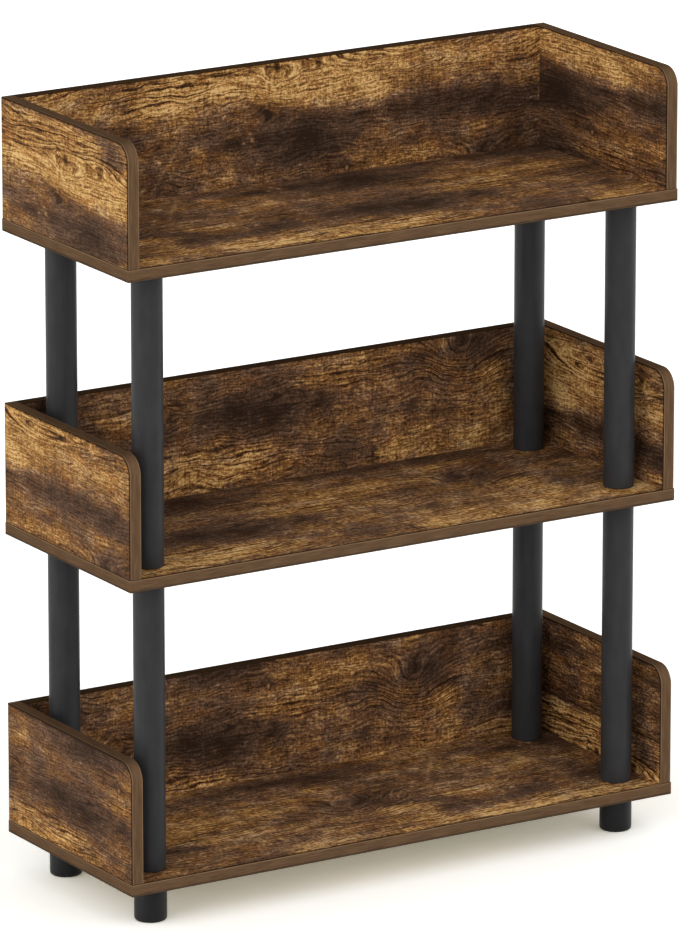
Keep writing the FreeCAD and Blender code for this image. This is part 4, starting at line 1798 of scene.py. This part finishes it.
@dataclass
class Studio:
    """The pale floor, the soft light and the camera."""

    azimuth: float = 31.66
    elevation: float = 15.64
    distance: float = 8.0
    target: tuple[float, float, float] = (-0.0023, 0.0011, 0.3748)
    # The lens and the sensor's width, in millimetres.
    lens: float = 322.85
    sensor: float = 36.0
    # How far the camera sees.
    clip_end: float = 200.0
    lamps: tuple[Lamp, ...] = (
        Lamp("key_lamp", azimuth=-70, elevation=24, strength=0.85, spread=55),
        Lamp("fill_lamp", azimuth=20, elevation=36, strength=0.50, spread=50),
        Lamp("left_strip", azimuth=-104, elevation=10, strength=2.50, spread=26, for_gloss=True),
        Lamp("right_strip", azimuth=70, elevation=8, strength=1.60, spread=30, for_gloss=True),
    )
    side_light: float = 1.16
    top_light: float = 0.40
    floor_radius: float = 40.0
    floor_rings: int = 12
    floor_steps: int = 96
    # The floor's own colour, and what makes it white and its shadows beige where it is seen directly.
    floor_colour: Colour = (0.80, 0.80, 0.80, 1.0)
    floor_seen: Colour = (1.40, 1.42, 1.46, 1.0)
    floor_glow: Colour = (1.0, 0.96, 0.62, 1.0)
    floor_glow_strength: float = 0.18

    def build(self) -> None:
        """Sets up camera, world, lamps and floor."""
        scene = bpy.context.scene
        scene.view_settings.view_transform = "Standard"
        self.set_camera(scene)
        self.set_world(scene)
        for lamp in self.lamps:
            self.set_lamp(lamp)
        self.lay_floor()
        log.info("studio set with %d lamps", len(self.lamps))

    @staticmethod
    def heading(azimuth: float, elevation: float) -> Vector:
        """Gives the direction from the rack to a viewer.

        It is (sine of azimuth times cosine of elevation, minus cosine of azimuth times cosine of elevation,
        sine of elevation).

        Args:
            azimuth: Degrees from the front, growing to the right.
            elevation: Degrees above the floor.

        Returns:
            The direction, with a length of 1.
        """
        around, up = math.radians(azimuth), math.radians(elevation)
        ground = math.cos(up)
        return Vector((math.sin(around) * ground, -math.cos(around) * ground, math.sin(up)))

    def set_camera(self, scene: bpy.types.Scene) -> None:
        """Puts the camera at the photograph's viewing angle, looking at the target.

        Args:
            scene: The scene that gets it.
        """
        camera = bpy.data.cameras.new("photo_camera")
        camera.lens = self.lens
        camera.sensor_width = self.sensor
        camera.sensor_fit = "AUTO"
        camera.clip_end = self.clip_end
        holder = bpy.data.objects.new("photo_camera", camera)
        back = self.heading(-self.azimuth, self.elevation)
        holder.location = Vector(self.target) + back * self.distance
        holder.rotation_euler = back.to_track_quat("Z", "Y").to_euler()
        scene.collection.objects.link(holder)
        scene.camera = holder

    def set_lamp(self, lamp: Lamp) -> None:
        """Adds a lamp that shines from its place towards the rack.

        Args:
            lamp: The lamp.
        """
        light = bpy.data.lights.new(lamp.name, "SUN")
        light.energy = lamp.strength
        light.angle = math.radians(lamp.spread)
        holder = bpy.data.objects.new(lamp.name, light)
        back = self.heading(lamp.azimuth, lamp.elevation)
        holder.rotation_euler = back.to_track_quat("Z", "Y").to_euler()
        holder.visible_diffuse = not lamp.for_gloss
        bpy.context.scene.collection.objects.link(holder)

    @staticmethod
    def seen_directly(bench: Bench) -> Number:
        """Tells whether something is seen, directly or in a gloss or a glass, or only sheds its light.

        Args:
            bench: Where the nodes go.

        Returns:
            1 for rays from the camera, a gloss or a glass, and 0 for light that falls on a surface.
        """
        path = bench.node("ShaderNodeLightPath").outputs
        camera = Number(bench, path["Is Camera Ray"])
        gloss = Number(bench, path["Is Glossy Ray"])
        glass = Number(bench, path["Is Transmission Ray"])
        return bench.math("MINIMUM", camera + gloss + glass, 1.0)

    def set_world(self, scene: bpy.types.Scene) -> None:
        """Makes a white surround to look at, which lights more from the sides than from above.

        Args:
            scene: The scene that gets it.
        """
        world = bpy.data.worlds.new("studio_surround")
        scene.world = world
        world.use_nodes = True
        bench = Bench(world.node_tree)
        direction = bench.node("ShaderNodeTexCoord").outputs["Generated"]
        height = bench.split(direction)[2]
        light = bench.rise(height, 0.0, 1.0) * (self.top_light - self.side_light) + self.side_light
        seen = self.seen_directly(bench)
        strength = seen + (1 - seen) * light
        surround = bench.node("ShaderNodeBackground", values={"Color": (1, 1, 1, 1), "Strength": strength})
        bench.node("ShaderNodeOutputWorld", values={"Surface": surround.outputs[0]})

    def lay_floor(self) -> None:
        """Lays a round pale floor: rings of points at radius times (cosine, sine), wider apart outwards.

        A ring's radius is the floor's, times the square of the ring's number over how many there are.
        """
        angle = np.linspace(0, FULL_TURN, self.floor_steps, endpoint=False)
        rings = self.floor_radius * (np.arange(1, self.floor_rings + 1) / self.floor_rings) ** 2
        points = np.stack(
            [
                rings[:, None] * np.cos(angle)[None],
                rings[:, None] * np.sin(angle)[None],
                np.zeros((self.floor_rings, self.floor_steps)),
            ],
            -1,
        ).reshape(-1, 3)
        i, j = np.meshgrid(np.arange(self.floor_rings - 1), np.arange(self.floor_steps), indexing="ij")
        after = (j + 1) % self.floor_steps
        inner, outer = i * self.floor_steps, (i + 1) * self.floor_steps
        faces = np.stack([inner + j, outer + j, outer + after, inner + after], -1).reshape(-1, 4)
        mesh = bpy.data.meshes.new("studio_floor")
        mesh.from_pydata(points.tolist(), [], [list(range(self.floor_steps)), *faces.tolist()])
        floor = bpy.data.objects.new("studio_floor", mesh)
        bpy.context.scene.collection.objects.link(floor)
        dress(floor, self.floor_material())

    def floor_material(self) -> bpy.types.Material:
        """Makes the floor's paint.

        Seen directly, the lit floor comes up to white, and where the rack keeps light off it, it stays a
        pale beige.

        Returns:
            The material.
        """
        material, bench = new_material("studio_floor_paint")
        seen = self.seen_directly(bench)
        colour = bench.mix(seen, self.floor_colour, self.floor_seen)
        paint = bench.node("ShaderNodeBsdfDiffuse", values={"Color": colour})
        glow = bench.node(
            "ShaderNodeEmission",
            values={"Color": self.floor_glow, "Strength": seen * self.floor_glow_strength},
        )
        both = bench.node("ShaderNodeAddShader", values={0: paint.outputs[0], 1: glow.outputs[0]})
        bench.node("ShaderNodeOutputMaterial", values={"Surface": both.outputs[0]})
        return material


def main() -> None:
    """Builds the studio, the trays and the columns, in that order."""
    logging.basicConfig(level=logging.INFO, format="%(name)s: %(message)s")
    Studio().build()
    for tier in Tier:
        Tray(tier).build()
    for end in End:
        for hand in Hand:
            Column(end, hand).build()
    dress_node("top_board_thread_inserts", PlatedSteel().material("insert_steel"))


if __name__ == "__main__":
    main()
